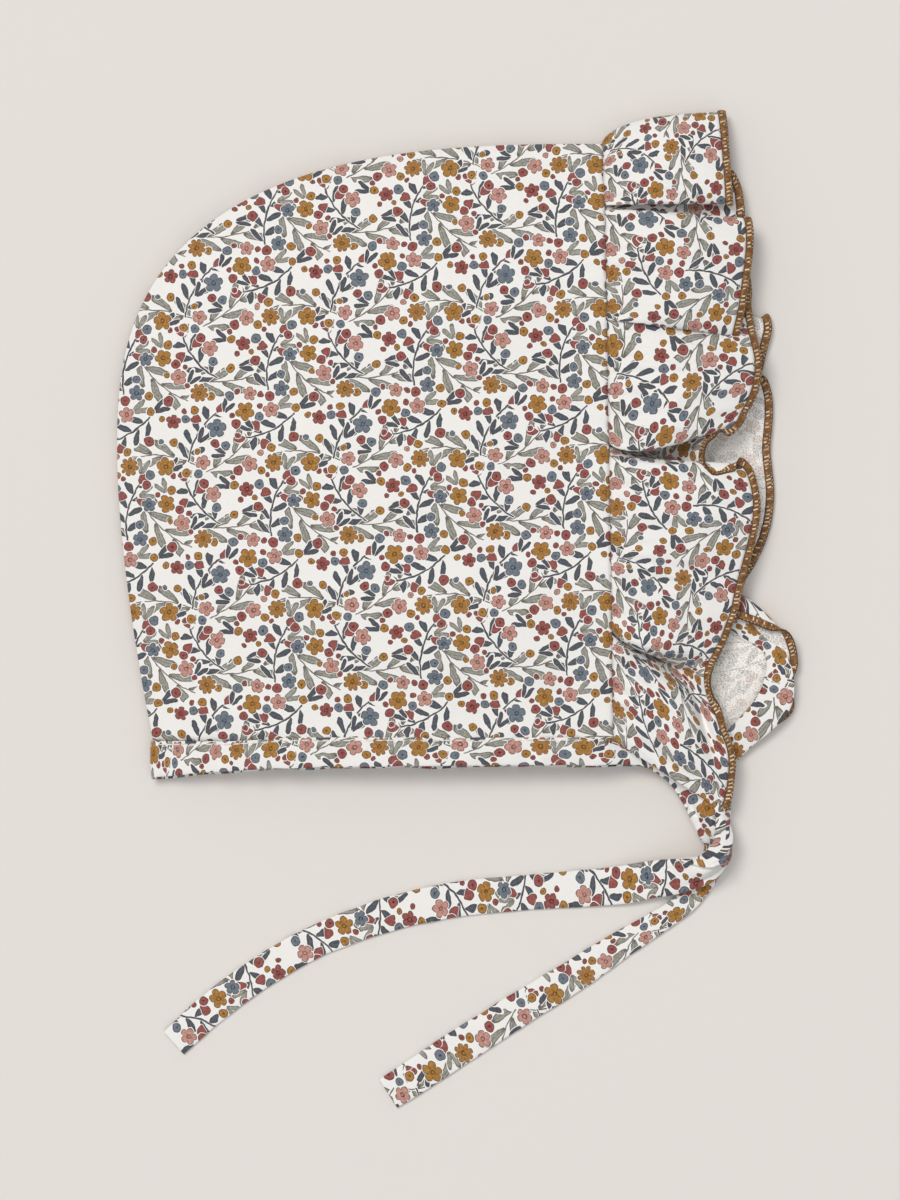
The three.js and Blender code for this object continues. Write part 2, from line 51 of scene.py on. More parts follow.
camera_data = bpy.data.cameras.new("camera")
camera_data.sensor_fit = "VERTICAL"
camera_data.sensor_height = SENSOR_HEIGHT
camera_data.lens = SENSOR_HEIGHT * CAMERA_HEIGHT / FRAME_HEIGHT
camera = bpy.data.objects.new("camera", camera_data)
camera.location = FRAME_MIDDLE + Vector((0, 0, CAMERA_HEIGHT))
bpy.context.collection.objects.link(camera)
bpy.context.scene.camera = camera
bpy.context.scene.view_settings.view_transform = "Standard"


def soft_lamp(name, place, watts, size, colour=(1, 1, 1)):
    data = bpy.data.lights.new(name, "AREA")
    data.energy = watts
    data.size = size
    data.color = colour
    lamp = bpy.data.objects.new(name, data)
    lamp.location = place
    lamp.rotation_euler = (-Vector(place)).to_track_quat("-Z", "Y").to_euler()
    bpy.context.collection.objects.link(lamp)


soft_lamp("window", (-1.5, 1.9, 4.6), 128, 1.8, (1, 0.97, 0.93))
soft_lamp("bounce", (1.6, -3.0, 3.4), 16, 2.4)
soft_lamp("overhead", (0.1, 0, 3), 18, 1.8)

surround = bpy.data.worlds.new("surround")
surround.use_nodes = True
surround.node_tree.nodes["Background"].inputs["Color"].default_value = (0.97, 0.98, 1, 1)
surround.node_tree.nodes["Background"].inputs["Strength"].default_value = 0.41
bpy.context.scene.world = surround


# Floor: a plain pale surface just under the cloth.
FLOOR_COLOUR = (0.745, 0.71, 0.675, 1)


def new_piece(name, form):
    """A piece of the scene from a bmesh, which is used up."""
    mesh = bpy.data.meshes.new(name)
    form.to_mesh(mesh)
    form.free()
    piece = bpy.data.objects.new(name, mesh)
    bpy.context.collection.objects.link(piece)
    return piece


def new_material(name, values):
    """A material and its shader, with the shader's values by the names of its sockets."""
    made = bpy.data.materials.new(name)
    made.use_nodes = True
    shader = made.node_tree.nodes["Principled BSDF"]
    for socket, value in values.items():
        shader.inputs[socket].default_value = value
    return made, shader


bm = bmesh.new()
bmesh.ops.create_grid(bm, x_segments=1, y_segments=1, size=2)
bmesh.ops.translate(bm, vec=(0, 0, -0.1 * MM), verts=bm.verts)
floor = new_piece("floor", bm)
floor_paper, _ = new_material("floor_paper", {"Base Color": FLOOR_COLOUR, "Roughness": 0.9})
floor.data.materials.append(floor_paper)


# Side panels. The bonnet's body is two shaped pieces of printed plain-weave cotton, the upper one
# seen and the lower one flat under it, sewn to each other round the crown from nape to brow.
# They are sewn right sides together and turned, so that the crown seam is a soft rounded edge.
PRINT_REPEAT = 42
PRINT_TILT = math.radians(1.4)
CLOTH_WHITE = (0.835, 0.820, 0.795, 1)
WRONG_SIDE_WHITE = (0.84, 0.81, 0.765, 1)
OCHRE = (0.365, 0.180, 0.046, 0.5)
OCHRE_DAISY = (0.350, 0.170, 0.050, 0.8)
BRICK = (0.280, 0.084, 0.074, 0.5)
BLUSH = (0.505, 0.262, 0.218, 0.5)
SLATE = (0.150, 0.178, 0.215, 0.5)
DARK_SLATE = (0.080, 0.091, 0.108, 0.5)
SAGE = (0.300, 0.297, 0.258, 0.5)
INK = (0.085, 0.055, 0.045, 1)

# The repeat is charted in layers. Each layer cuts the repeat into cells, from the lower left
# along each row, and its chart puts one motif in each cell: how far across and up from the cell's
# middle in mm, its turn in degrees, its size in mm and its colour.
EMPTY = (0, 0, 0, 0, (0, 0, 0, 0))
LONG_SPRIGS = [
    (0.3, 0.3, 172, 9.8, SAGE), (-0.3, 0.0, 40, 9.2, SAGE),
    (0.0, -0.3, 318, 9.2, SAGE), (0.3, 0.3, 8, 9.8, SAGE),
]
LEAFY_SPRIGS = [
    (0.0, 0.0, 58, 8.6, DARK_SLATE), (0.3, 0.3, 205, 8.2, DARK_SLATE),
    (-0.3, 0.3, 128, 8.2, DARK_SLATE), (0.0, -0.3, 75, 8.6, DARK_SLATE),
]
LOOSE_LEAVES = [
    (1, 0, 40, 2.1, DARK_SLATE), EMPTY, (0, -1, 165, 2.1, DARK_SLATE), EMPTY, (-1, 0, 75, 2.3, SAGE),
    EMPTY, (1, -1, 55, 2.2, DARK_SLATE), EMPTY, (-1, -1, 145, 2.0, DARK_SLATE), EMPTY,
    (1, 0, 30, 2.3, DARK_SLATE), EMPTY, (0, -1, 62, 2.0, DARK_SLATE), EMPTY, (-1, 0, 25, 2.4, SAGE),
    EMPTY, (0, -1, 50, 2.0, DARK_SLATE), EMPTY, (1, 1, 5, 2.1, DARK_SLATE), EMPTY,
    (-1, -1, 120, 2.1, SAGE), EMPTY, (-1, 0, 155, 2.2, DARK_SLATE), EMPTY, (1, 0, 15, 2.3, SAGE),
]
SMALL_BERRIES = [
    (1, 1, 0, 0.80, BRICK), (-1, 1, 0, 0.85, BRICK), EMPTY,
    (-1, -1, 0, 0.80, BRICK), (1, 0, 0, 0.75, BRICK), EMPTY,
    (-1, 1, 0, 0.80, SLATE), (1, -1, 0, 0.90, OCHRE), EMPTY,
    (1, 1, 0, 0.85, BRICK), (-1, 0, 0, 0.90, BLUSH), EMPTY,
    (1, 1, 0, 0.95, OCHRE), (-1, 1, 0, 0.80, BRICK), EMPTY,
    (-1, -1, 0, 0.80, BRICK), (0, 1, 0, 0.90, BRICK), EMPTY,
    (-1, 1, 0, 0.90, OCHRE), (1, 1, 0, 0.80, BRICK), EMPTY,
    (1, 0, 0, 0.85, BRICK), (0, -1, 0, 0.90, BRICK), EMPTY,
    (-1, 1, 0, 0.85, BRICK), (0, -1, 0, 0.80, BRICK), EMPTY,
    (1, 1, 0, 0.80, BRICK), (0, -1, 0, 0.85, OCHRE), EMPTY,
]
BERRIES = [
    (1, 1, 0, 1.30, OCHRE), (-1, 0, 0, 1.25, SLATE), (1, -1, 0, 1.40, BRICK),
    (0, 1, 0, 1.20, OCHRE), (1, 0, 0, 1.45, SLATE), (-1, -1, 0, 1.25, OCHRE),
    (0, 1, 0, 1.30, BRICK), (-1, 0, 0, 1.35, SLATE), (1, 1, 0, 1.25, OCHRE),
    (-1, -1, 0, 1.50, BRICK), (1, 0, 0, 1.30, SLATE), (-1, 1, 0, 1.25, OCHRE),
    (1, -1, 0, 1.35, BRICK), (0, 1, 0, 1.30, SLATE), (1, 0, 0, 1.25, OCHRE),
    (-1, -1, 0, 1.50, BRICK), (1, 1, 0, 1.20, OCHRE), (-1, 0, 0, 1.40, SLATE),
    (0, -1, 0, 1.45, BRICK), (-1, 1, 0, 1.25, OCHRE), (1, 0, 0, 1.30, BRICK),
    (0, 1, 0, 1.35, SLATE), (-1, -1, 0, 1.25, OCHRE), (1, 1, 0, 1.45, BRICK),
    (0, -1, 0, 1.25, SLATE), (1, 1, 0, 1.30, OCHRE), (-1, 0, 0, 1.40, BRICK),
    (0, 1, 0, 1.25, OCHRE), (1, -1, 0, 1.45, SLATE), (-1, 1, 0, 1.30, BRICK),
]
FLOWERS = [
    (1, 0, 20, 2.8, OCHRE), (-1, 1, 65, 2.2, BLUSH), (1, -1, 110, 2.3, BLUSH),
    (0, 1, 35, 2.7, OCHRE_DAISY), (1, 1, 80, 2.1, BRICK), (-1, -1, 15, 2.8, SLATE),
    (0, 1, 50, 2.8, OCHRE), (-1, -1, 95, 2.3, BLUSH), (1, 0, 30, 2.4, BLUSH),
    (0, -1, 70, 2.7, OCHRE_DAISY), (1, 1, 10, 2.1, BLUSH), (-1, 1, 85, 2.3, SLATE),
    (1, -1, 40, 2.6, OCHRE), (-1, 0, 60, 2.4, BLUSH), (0, 1, 25, 2.2, BRICK),
    (-1, 0, 90, 2.1, SLATE),
]
LEAFY_REACH, LONG_REACH = 2.9, 2.6
SPRIG_BUDS = ((0.40, 3.7), (1.1, 1.9))
MOTIF_CLEARANCE = 0.25
SETTLING_ROUNDS = 60


class Layer:
    """One layer of the print: its cells and the motifs in them."""

    def __init__(self, columns, shift, chart, outline, fixed=False):
        self.columns, self.rows = columns, len(chart) // columns
        self.cell = (PRINT_REPEAT / columns, PRINT_REPEAT / self.rows)
        self.shift = shift
        self.fixed = fixed
        self.outline = outline
        self.motifs = []
        for i, (across, up, turn, size, colour) in enumerate(chart):
            middle = Vector((i % columns + 0.5 - shift[0], i // columns + 0.5 - shift[1]))
            home = Vector((middle.x * self.cell[0], middle.y * self.cell[1]))
            off = Vector((across, up))
            self.motifs.append({"home": home, "off": off, "turn": turn, "size": size, "colour": colour})

    def discs(self, motif):
        """The motif as discs in the repeat, for keeping it clear of the others."""
        along = Vector((math.cos(math.radians(motif["turn"])), math.sin(math.radians(motif["turn"]))))
        spots = self.outline(motif["size"])
        return [(motif["home"] + motif["off"] + along * shift, radius) for shift, radius in spots]

    def hold(self, motif):
        """Keep the whole motif inside its cell."""
        for axis in (0, 1):
            room = max(0.0, self.cell[axis] / 2 - motif["size"] * 1.04)
            motif["off"][axis] = max(-room, min(room, motif["off"][axis]))


def one_disc(share):
    return lambda size: [(0, size * share)]


def disc_row(reach, buds=()):
    leaves = [(share, reach) for share in (-0.72, -0.24, 0.24, 0.72)]
    return lambda size: [(size * share, wide) for share, wide in leaves + list(buds)]


def settle(layers):
    """Nudge the motifs apart, also across the edges of the repeat, as a charted print is spaced."""
    placed = [(layer, motif) for layer in layers for motif in layer.motifs if motif["size"] > 0]
    for _ in range(SETTLING_ROUNDS):
        for i, (layer, motif) in enumerate(placed):
            for other_layer, other in placed[i + 1:]:
                if layer.fixed and other_layer.fixed:
                    continue
                for spot, radius in layer.discs(motif):
                    for other_spot, other_radius in other_layer.discs(other):
                        apart = spot - other_spot
                        half = PRINT_REPEAT / 2
                        apart = Vector([(step + half) % PRINT_REPEAT - half for step in apart])
                        overlap = radius + other_radius + MOTIF_CLEARANCE - apart.length
                        if overlap <= 0:
                            continue
                        push = apart.normalized() * overlap * 0.5
                        if not layer.fixed:
                            motif["off"] += push
                        if not other_layer.fixed:
                            other["off"] -= push
            layer.hold(motif)
    for layer, motif in placed:
        layer.hold(motif)


long_sprigs = Layer(2, (0.5, 0.3), LONG_SPRIGS, disc_row(LONG_REACH), fixed=True)
leafy_sprigs = Layer(2, (0.0, 0.0), LEAFY_SPRIGS, disc_row(LEAFY_REACH, SPRIG_BUDS), fixed=True)
flowers = Layer(4, (0.2, 0.15), FLOWERS, one_disc(1.0))
berries = Layer(5, (0.0, 0.35), BERRIES, one_disc(1.0))
loose_leaves = Layer(5, (0.3, 0.1), LOOSE_LEAVES, one_disc(0.75))
small_berries = Layer(6, (0.4, 0.6), SMALL_BERRIES, one_disc(1.0))
settle([long_sprigs, leafy_sprigs, flowers, berries, loose_leaves, small_berries])


class Wiring:
    """Adds nodes to one node tree. A value may be a number, a vector or another node's socket."""

    def __init__(self, tree):
        self.tree = tree

    def node(self, kind, values=(), **settings):
        made = self.tree.nodes.new(kind)
        for name, setting in settings.items():
            setattr(made, name, setting)
        for socket, value in zip(made.inputs, values):
            self.feed(socket, value)
        return made

    def feed(self, socket, value):
        if isinstance(value, bpy.types.NodeSocket):
            self.tree.links.new(value, socket)
        elif value is not None:
            socket.default_value = value

    def math(self, operation, *values):
        return self.node("ShaderNodeMath", values, operation=operation).outputs[0]

    def vector(self, operation, *values):
        made = self.node("ShaderNodeVectorMath", values, operation=operation)
        return made.outputs["Value" if operation in ("LENGTH", "DOT_PRODUCT") else "Vector"]

    def split(self, vector):
        return self.node("ShaderNodeSeparateXYZ", [vector]).outputs

    def join(self, x, y, z=0.0):
        return self.node("ShaderNodeCombineXYZ", [x, y, z]).outputs[0]

    def within(self, distance, limit):
        return self.math("LESS_THAN", distance, limit)

    def blend(self, share, under, over):
        made = self.node("ShaderNodeMix", data_type="RGBA")
        self.feed(made.inputs["Factor"], share)
        self.feed(made.inputs[6], under)
        self.feed(made.inputs[7], over)
        return made.outputs[2]

    def tint(self, colour, factor):
        return self.vector("SCALE", colour, None, None, factor)

    def fogged(self, place, scale, detail=2.0, output="Fac"):
        made = self.node("ShaderNodeTexNoise")
        self.feed(made.inputs["Vector"], place)
        made.inputs["Scale"].default_value = scale
        made.inputs["Detail"].default_value = detail
        return made.outputs[output]

    def bump(self, shader, height, strength, distance):
        """Give the surface a fine relief, distance in mm."""
        made = self.node("ShaderNodeBump")
        made.inputs["Strength"].default_value = strength
        made.inputs["Distance"].default_value = distance * MM
        self.feed(made.inputs["Height"], height)
        self.feed(shader.inputs["Normal"], made.outputs[0])

    def lookup(self, place, rows):
        """One of the rows of four values, by a place from 0 to 1."""
        made = self.node("ShaderNodeValToRGB", [place])
        ramp = made.color_ramp
        ramp.interpolation = "CONSTANT"
        while len(ramp.elements) < len(rows):
            ramp.elements.new(1)
        for i, row in enumerate(rows):
            ramp.elements[i].position = i / len(rows)
            ramp.elements[i].color = row
        return made.outputs


LARGEST_MOTIF = 10.0


def charted(w, place, layer):
    """The place within its motif's own frame, that motif's size, its colour and its petals.
    A bare cell's motif is put far away."""
    cell = (*layer.cell, 1)
    grid = w.vector("ADD", w.vector("DIVIDE", place, cell), (*layer.shift, 0))
    corner = w.vector("FLOOR", grid)
    inside = w.vector("SUBTRACT", w.vector("SUBTRACT", grid, corner), (0.5, 0.5, 0))
    column, row, _ = w.split(corner)
    column = w.math("FLOORED_MODULO", column, float(layer.columns))
    row = w.math("FLOORED_MODULO", row, float(layer.rows))
    number = w.math("ADD", w.math("MULTIPLY_ADD", row, float(layer.columns), column), 0.5)
    number = w.math("DIVIDE", number, float(len(layer.motifs)))
    rows = [
        (m["off"].x / cell[0] + 0.5, m["off"].y / cell[1] + 0.5, m["turn"] / 360, m["size"] / LARGEST_MOTIF)
        for m in layer.motifs
    ]
    layout = w.lookup(number, rows)
    across, up, turn = w.split(layout["Color"])
    off = w.join(w.math("SUBTRACT", across, 0.5), w.math("SUBTRACT", up, 0.5))
    inside = w.vector("SUBTRACT", inside, off)
    inside = w.vector("MULTIPLY", inside, cell)
    turned = w.node("ShaderNodeVectorRotate", rotation_type="Z_AXIS")
    w.feed(turned.inputs["Vector"], inside)
    w.feed(turned.inputs["Angle"], w.math("MULTIPLY", turn, -2 * math.pi))
    size = w.math("MULTIPLY", layout["Alpha"], LARGEST_MOTIF)
    away = w.math("MULTIPLY", w.within(size, 0.1), 100.0)
    spot = w.vector("ADD", turned.outputs[0], w.join(away, away))
    colour = w.lookup(number, [m["colour"] for m in layer.motifs])
    return spot, w.math("MAXIMUM", size, 0.5), colour["Color"], colour["Alpha"]


def leaf_edge(w, x, y, half_length, half_width):
    """Distance outside a leaf that lies along x, widest past its middle, and negative inside it."""
    along = w.math("DIVIDE", x, half_length)
    across = w.math("DIVIDE", y, w.math("MULTIPLY", half_width, w.math("MULTIPLY_ADD", along, 0.22, 1.0)))
    reach = w.vector("LENGTH", w.join(along, across))
    return w.math("MULTIPLY", w.math("SUBTRACT", reach, 1.0), half_width)


def bud_edge(w, x, y, size):
    """Distance outside a heart that stands on its point."""
    lobe = w.math("MULTIPLY_ADD", w.math("ABSOLUTE", x), -0.62, y)
    return w.math("SUBTRACT", w.vector("LENGTH", w.join(x, lobe)), size)


def bent(w, place, bend):
    """The place along a bent stem and to its side."""
    x, y, _ = w.split(place)
    return x, w.math("SUBTRACT", y, w.math("MULTIPLY", w.math("MULTIPLY", x, x), bend))


def leaves_edge(w, x, y, half_length, pitch, leaf, angle, stem_half_width):
    """Distance from a stem with leaves on both sides by turns, and from the leaves' midribs."""
    leaf_half_length, leaf_half_width = leaf
    along = w.math("MULTIPLY_ADD", w.math("LESS_THAN", y, 0.0), 0.5, w.math("DIVIDE", x, pitch))
    beside = w.math("MULTIPLY", w.math("SUBTRACT", w.math("FRACT", along), 0.5), pitch)
    side = w.math("ABSOLUTE", y)
    out = w.math("SUBTRACT", side, leaf_half_length * math.sin(angle) + stem_half_width + 0.1)
    cos, sin = math.cos(angle), math.sin(angle)
    leaf_x = w.math("MULTIPLY_ADD", beside, cos, w.math("MULTIPLY", out, sin))
    leaf_y = w.math("MULTIPLY_ADD", beside, -sin, w.math("MULTIPLY", out, cos))
    reach = w.math("ABSOLUTE", x)
    leaves = leaf_edge(w, leaf_x, leaf_y, leaf_half_length, leaf_half_width)
    leaves = w.math("MAXIMUM", leaves, w.math("SUBTRACT", w.math("ADD", reach, 0.9), half_length))
    past_end = w.math("SUBTRACT", reach, half_length)
    stem = w.math("MAXIMUM", w.math("SUBTRACT", side, stem_half_width), past_end)
    on_midrib = w.within(w.math("ABSOLUTE", leaf_y), 0.1)
    midrib = w.math("MULTIPLY", on_midrib, w.math("LESS_THAN", leaves, -0.1))
    return w.math("MINIMUM", stem, leaves), midrib


def painted(w, ground, edge, colour, halo=0.2, line=0.2, line_strength=0.75):
    """Paint one layer over the ground: a bare rim round each motif, its wash and its ink outline."""
    ground = w.blend(w.within(edge, halo), ground, CLOTH_WHITE)
    outline = w.within(w.math("ABSOLUTE", w.math("ADD", edge, line * 0.5)), line * 0.5)
    wash = w.blend(w.math("MULTIPLY", outline, line_strength), colour, INK)
    return w.blend(w.within(edge, 0.0), ground, wash)


def ditsy_print():
    """The cloth's print, as a group that gives a colour for a place in mm on the flat cloth."""
    group = bpy.data.node_groups.new("ditsy_print", "ShaderNodeTree")
    group.interface.new_socket("Place", in_out="INPUT", socket_type="NodeSocketVector")
    group.interface.new_socket("Colour", in_out="OUTPUT", socket_type="NodeSocketColor")
    w = Wiring(group)
    flat = w.node("NodeGroupInput").outputs[0]
    shake = w.vector("SUBTRACT", w.fogged(flat, 0.45, 1.0, "Color"), (0.5, 0.5, 0.5))
    place = w.vector("ADD", flat, w.vector("MULTIPLY", shake, (0.9, 0.9, 0)))
    wash = w.math("MULTIPLY_ADD", w.fogged(flat, 1.4), 1.3, 0.36)

    ground = CLOTH_WHITE
    spot, size, colour, _ = charted(w, place, long_sprigs)
    x, y = bent(w, spot, 0.018)
    edge, midrib = leaves_edge(w, x, y, size, 6.8, (4.0, 1.05), 0.50, 0.17)
    shade = w.math("MULTIPLY_ADD", midrib, -0.35, wash)
    ground = painted(w, ground, edge, w.tint(colour, shade), line=0.26, line_strength=0.6)

    spot, size, colour, _ = charted(w, place, leafy_sprigs)
    x, y = bent(w, spot, -0.024)
    edge, midrib = leaves_edge(w, x, y, size, 4.3, (2.35, 0.86), 0.86, 0.26)
    shade = w.math("MULTIPLY_ADD", midrib, 0.25, wash)
    ground = painted(w, ground, edge, w.tint(colour, shade), line_strength=0.35)
    tip = w.math("SUBTRACT", x, w.math("ADD", size, 0.9))
    beside = w.math("SUBTRACT", w.math("ABSOLUTE", y), 2.7)
    side_buds = bud_edge(w, w.math("SUBTRACT", x, 3.4), beside, 1.45)
    buds = w.math("MINIMUM", bud_edge(w, y, tip, 1.5), side_buds)
    ground = painted(w, ground, buds, w.tint(BRICK[:3], wash))

    spot, size, colour, _ = charted(w, place, loose_leaves)
    x, y, _ = w.split(spot)
    pair = w.math("SUBTRACT", w.math("ABSOLUTE", y), 0.85)
    edge = leaf_edge(w, x, w.math("MULTIPLY_ADD", x, -0.28, pair), size, w.math("MULTIPLY", size, 0.33))
    ground = painted(w, ground, edge, w.tint(colour, wash), line_strength=0.5)

    for layer in (small_berries, berries):
        spot, size, colour, _ = charted(w, place, layer)
        reach = w.vector("LENGTH", spot)
        pip = w.within(reach, w.math("MULTIPLY", size, 0.24))
        shade = w.math("MULTIPLY_ADD", pip, -0.55, wash)
        ground = painted(w, ground, w.math("SUBTRACT", reach, size), w.tint(colour, shade))

    spot, size, colour, petals = charted(w, place, flowers)
    x, y, _ = w.split(spot)
    reach = w.vector("LENGTH", spot)
    turn = w.math("MULTIPLY", w.math("ARCTAN2", y, x), w.math("ROUND", w.math("MULTIPLY", petals, 10.0)))
    petal = w.math("ABSOLUTE", w.math("COSINE", w.math("MULTIPLY", turn, 0.5)))
    petal = w.math("POWER", petal, 0.45)
    rim = w.math("MULTIPLY", size, w.math("MULTIPLY_ADD", petal, 0.42, 0.58))
    heart = w.within(w.math("ABSOLUTE", w.math("SUBTRACT", reach, 0.5)), 0.2)
    crease = w.math("MULTIPLY", w.within(petal, 0.45), w.math("GREATER_THAN", reach, 0.9))
    shade = w.math("MULTIPLY_ADD", w.math("MAXIMUM", heart, w.math("MULTIPLY", crease, 0.8)), -0.55, wash)
    ground = painted(w, ground, w.math("SUBTRACT", reach, rim), w.tint(colour, shade), line=0.24)

    out = w.node("NodeGroupOutput")
    w.feed(out.inputs[0], ground)
    return group


def printed_cotton(name, fade):
    """Plain-weave cotton with the print. fade is how far the print is lost, as on the wrong side."""
    values = {"Roughness": 0.92, "Specular IOR Level": 0.25, "Sheen Weight": 0.12}
    made, shader = new_material(name, values)
    w = Wiring(made.node_tree)
    flat = w.node("ShaderNodeUVMap", uv_map="flat_cloth").outputs[0]
    pattern = w.node("ShaderNodeGroup", node_tree=bpy.data.node_groups["ditsy_print"])
    w.feed(pattern.inputs[0], flat)
    colour = pattern.outputs[0]
    if fade:
        patchy = w.math("MULTIPLY_ADD", w.fogged(flat, 2.6, 3.0), 1.7, fade - 0.85)
        colour = w.blend(w.math("MINIMUM", patchy, 1.0), colour, WRONG_SIDE_WHITE)
        speckle = w.math("MULTIPLY_ADD", w.fogged(flat, 2.8, 0.0), 1.7, 0.25)
        colour = w.tint(colour, w.math("MINIMUM", speckle, 1.12))
    weave = w.fogged(w.vector("MULTIPLY", flat, (1, 6, 1)), 1.2)
    cross_weave = w.fogged(w.vector("MULTIPLY", flat, (6, 1, 1)), 1.2)
    threads = w.math("ADD", weave, cross_weave)
    w.feed(shader.inputs["Base Color"], w.tint(colour, w.math("MULTIPLY_ADD", threads, 0.14, 0.86)))
    w.bump(shader, threads, 0.3, 0.1)
    return made


ditsy_print()
right_side = printed_cotton("printed_cotton", 0)
wrong_side = printed_cotton("printed_cotton_wrong_side", 0.72)

# Where the two panels lie, in mm from the place that the pattern is measured from.
MIDDLE_X, MIDDLE_Y = -0.25, 0.50
PANEL_DEPTH, CROWN_RISE, CROWN_POWER = 141.7, 94, 2.8
WIDEST_Y = 40.6
NAPE_TAPER, NAPE_TAPER_POWER = 9, 1.6
FACE_SEAM_TOP_X, FACE_SEAM_LEAN = 41.8, 2.9
NECK_SEAM_Y = -37.7
CROWN_Y = WIDEST_Y + CROWN_RISE
CROWN_SEAM_Z = 3.9
SEAM_HALF_GAP, RIM_HALF_GAP = 0.75, 0.25
CORNER_ANGLE = math.radians(32)
PUFF, PUFF_POWER = 13, 4
CLOTH = 0.4


def clamp(value, low=0.0, high=1.0):
    return max(low, min(high, value))


def lerp(a, b, t):
    return a + (b - a) * t


def ease(value, start, end):
    t = clamp((value - start) / (end - start))
    return t * t * (3 - 2 * t)


def bell(value):
    """1 at 0 and falling away smoothly to both sides."""
    return math.exp(-(value**2))


def soft_noise(x, y, z):
    return noise.noise(Vector((x, y, z)))


def face_seam_x(y):
    return FACE_SEAM_TOP_X + FACE_SEAM_LEAN * (CROWN_Y - y) / (CROWN_Y - NECK_SEAM_Y)


def panel_depth(y):
    down = clamp((WIDEST_Y - y) / (WIDEST_Y - NECK_SEAM_Y))
    return PANEL_DEPTH - NAPE_TAPER * down**NAPE_TAPER_POWER


def towards_crown_seam(x, y):
    """0 at the face seam and 1 on the crown seam."""
    back = max(0.0, face_seam_x(y) - x)
    if y < WIDEST_Y:
        return back / panel_depth(y)
    across = (back / PANEL_DEPTH) ** CROWN_POWER
    up = ((y - WIDEST_Y) / CROWN_RISE) ** CROWN_POWER
    return (across + up) ** (1 / CROWN_POWER)


def crown_seam_gap(x, y):
    return (1 - towards_crown_seam(x, y)) * PANEL_DEPTH


def upper_height(x, y):
    """The upper side's pillow, sinking a little at the neck and the face."""
    pillow = 1 - min(1.0, towards_crown_seam(x, y)) ** PUFF_POWER
    neck = 1 - 0.4 * (1 - ease(y, NECK_SEAM_Y - 8.8, NECK_SEAM_Y + 45))
    face = 1 - 0.15 * ease(x, FACE_SEAM_TOP_X - 45, FACE_SEAM_TOP_X)
    return CROWN_SEAM_Z + SEAM_HALF_GAP + PUFF * pillow * neck * face


def lower_height(x, y, wall=CLOTH):
    """The lower side, flat where it lies and curling up to the crown seam."""
    curl = clamp((towards_crown_seam(x, y) - 0.5) / 0.5) ** 4
    return lerp(wall / 2, CROWN_SEAM_Z - SEAM_HALF_GAP, curl)


def panel_plan(u, v):
    """A point of a panel, stretched between its neck, face and crown seams."""

    def on_seam(angle):
        across = (math.cos(angle) / PANEL_DEPTH) ** CROWN_POWER
        up = (math.sin(angle) / CROWN_RISE) ** CROWN_POWER
        reach = (across + up) ** (-1 / CROWN_POWER)
        y = WIDEST_Y + reach * math.sin(angle)
        return Vector((face_seam_x(y) - reach * math.cos(angle), y))

    def on_back(t):
        if t > 0.5:
            return on_seam((t - 0.5) * 2 * CORNER_ANGLE)
        y = lerp(NECK_SEAM_Y, WIDEST_Y, t * 2)
        return Vector((face_seam_x(y) - panel_depth(y), y))

    def on_top(t):
        return on_seam(lerp(CORNER_ANGLE, math.pi / 2, t))

    def on_face(t):
        y = lerp(NECK_SEAM_Y, CROWN_Y, t)
        return Vector((face_seam_x(y), y))

    neck_back, neck_face, crown_face, corner = on_back(0), on_face(0), on_top(1), on_top(0)
    neck = neck_back * (1 - u) + neck_face * u
    sides = neck * (1 - v) + on_top(u) * v + on_back(v) * (1 - u) + on_face(v) * u
    corners = neck_back * (1 - u) * (1 - v) + neck_face * u * (1 - v)
    corners = corners + crown_face * u * v + corner * (1 - u) * v
    return sides - corners


def rumple(x, y):
    """Soft waves of worn cotton, puckers along its seams and a few slack creases."""
    seam_gap = max(0.0, face_seam_x(y) - x)
    neck_gap = max(0.0, y - NECK_SEAM_Y)
    crown_gap = crown_seam_gap(x, y)
    slack = 1.0 * soft_noise(x / 30, y / 22, 1.7) + 0.4 * soft_noise(x / 11, y / 9, 5.1)
    slack -= 1.1 * bell((seam_gap - 13) / 7) * (0.6 + soft_noise(0, y / 16, 12))
    face_pucker = 0.42 * math.sin(y * 1.15 + 2.5 * soft_noise(0, y / 9, 2)) * math.exp(-seam_gap / 5)
    neck_pucker = 0.32 * math.sin(x * 0.9 + 3 * soft_noise(x / 11, 0, 4)) * math.exp(-neck_gap / 5)
    crown_pucker = 0.25 * soft_noise(x / 3.5, y / 3.5, 9) * math.exp(-crown_gap / 6)
    return slack * ease(crown_gap, 0, 14) + face_pucker + neck_pucker + crown_pucker


def seam_ditch(gap, depth=0.4, width=0.8):
    return -depth * bell(gap / width)


def rounded_rim(z, seam_z, gap, reach):
    """Turn a height down, or up, to the seam in a quarter round."""
    share = clamp(gap / reach)
    return seam_z + (z - seam_z) * math.sqrt(1 - (1 - share) ** 2)


def upper_surface(x, y):
    z = upper_height(x, y) + rumple(x, y)
    z += seam_ditch(face_seam_x(y) - x) + seam_ditch(y - NECK_SEAM_Y, 0.35)
    return rounded_rim(z, CROWN_SEAM_Z + RIM_HALF_GAP, crown_seam_gap(x, y), 4)


def lower_surface(x, y):
    return rounded_rim(lower_height(x, y), CROWN_SEAM_Z - RIM_HALF_GAP, crown_seam_gap(x, y), 1.5)


def at(x, y, z):
    """A place in the frame for a place on the pattern. Nothing sinks into the floor."""
    return Vector(((x - MIDDLE_X) * MM, (y - MIDDLE_Y) * MM, max(0.0, z) * MM))


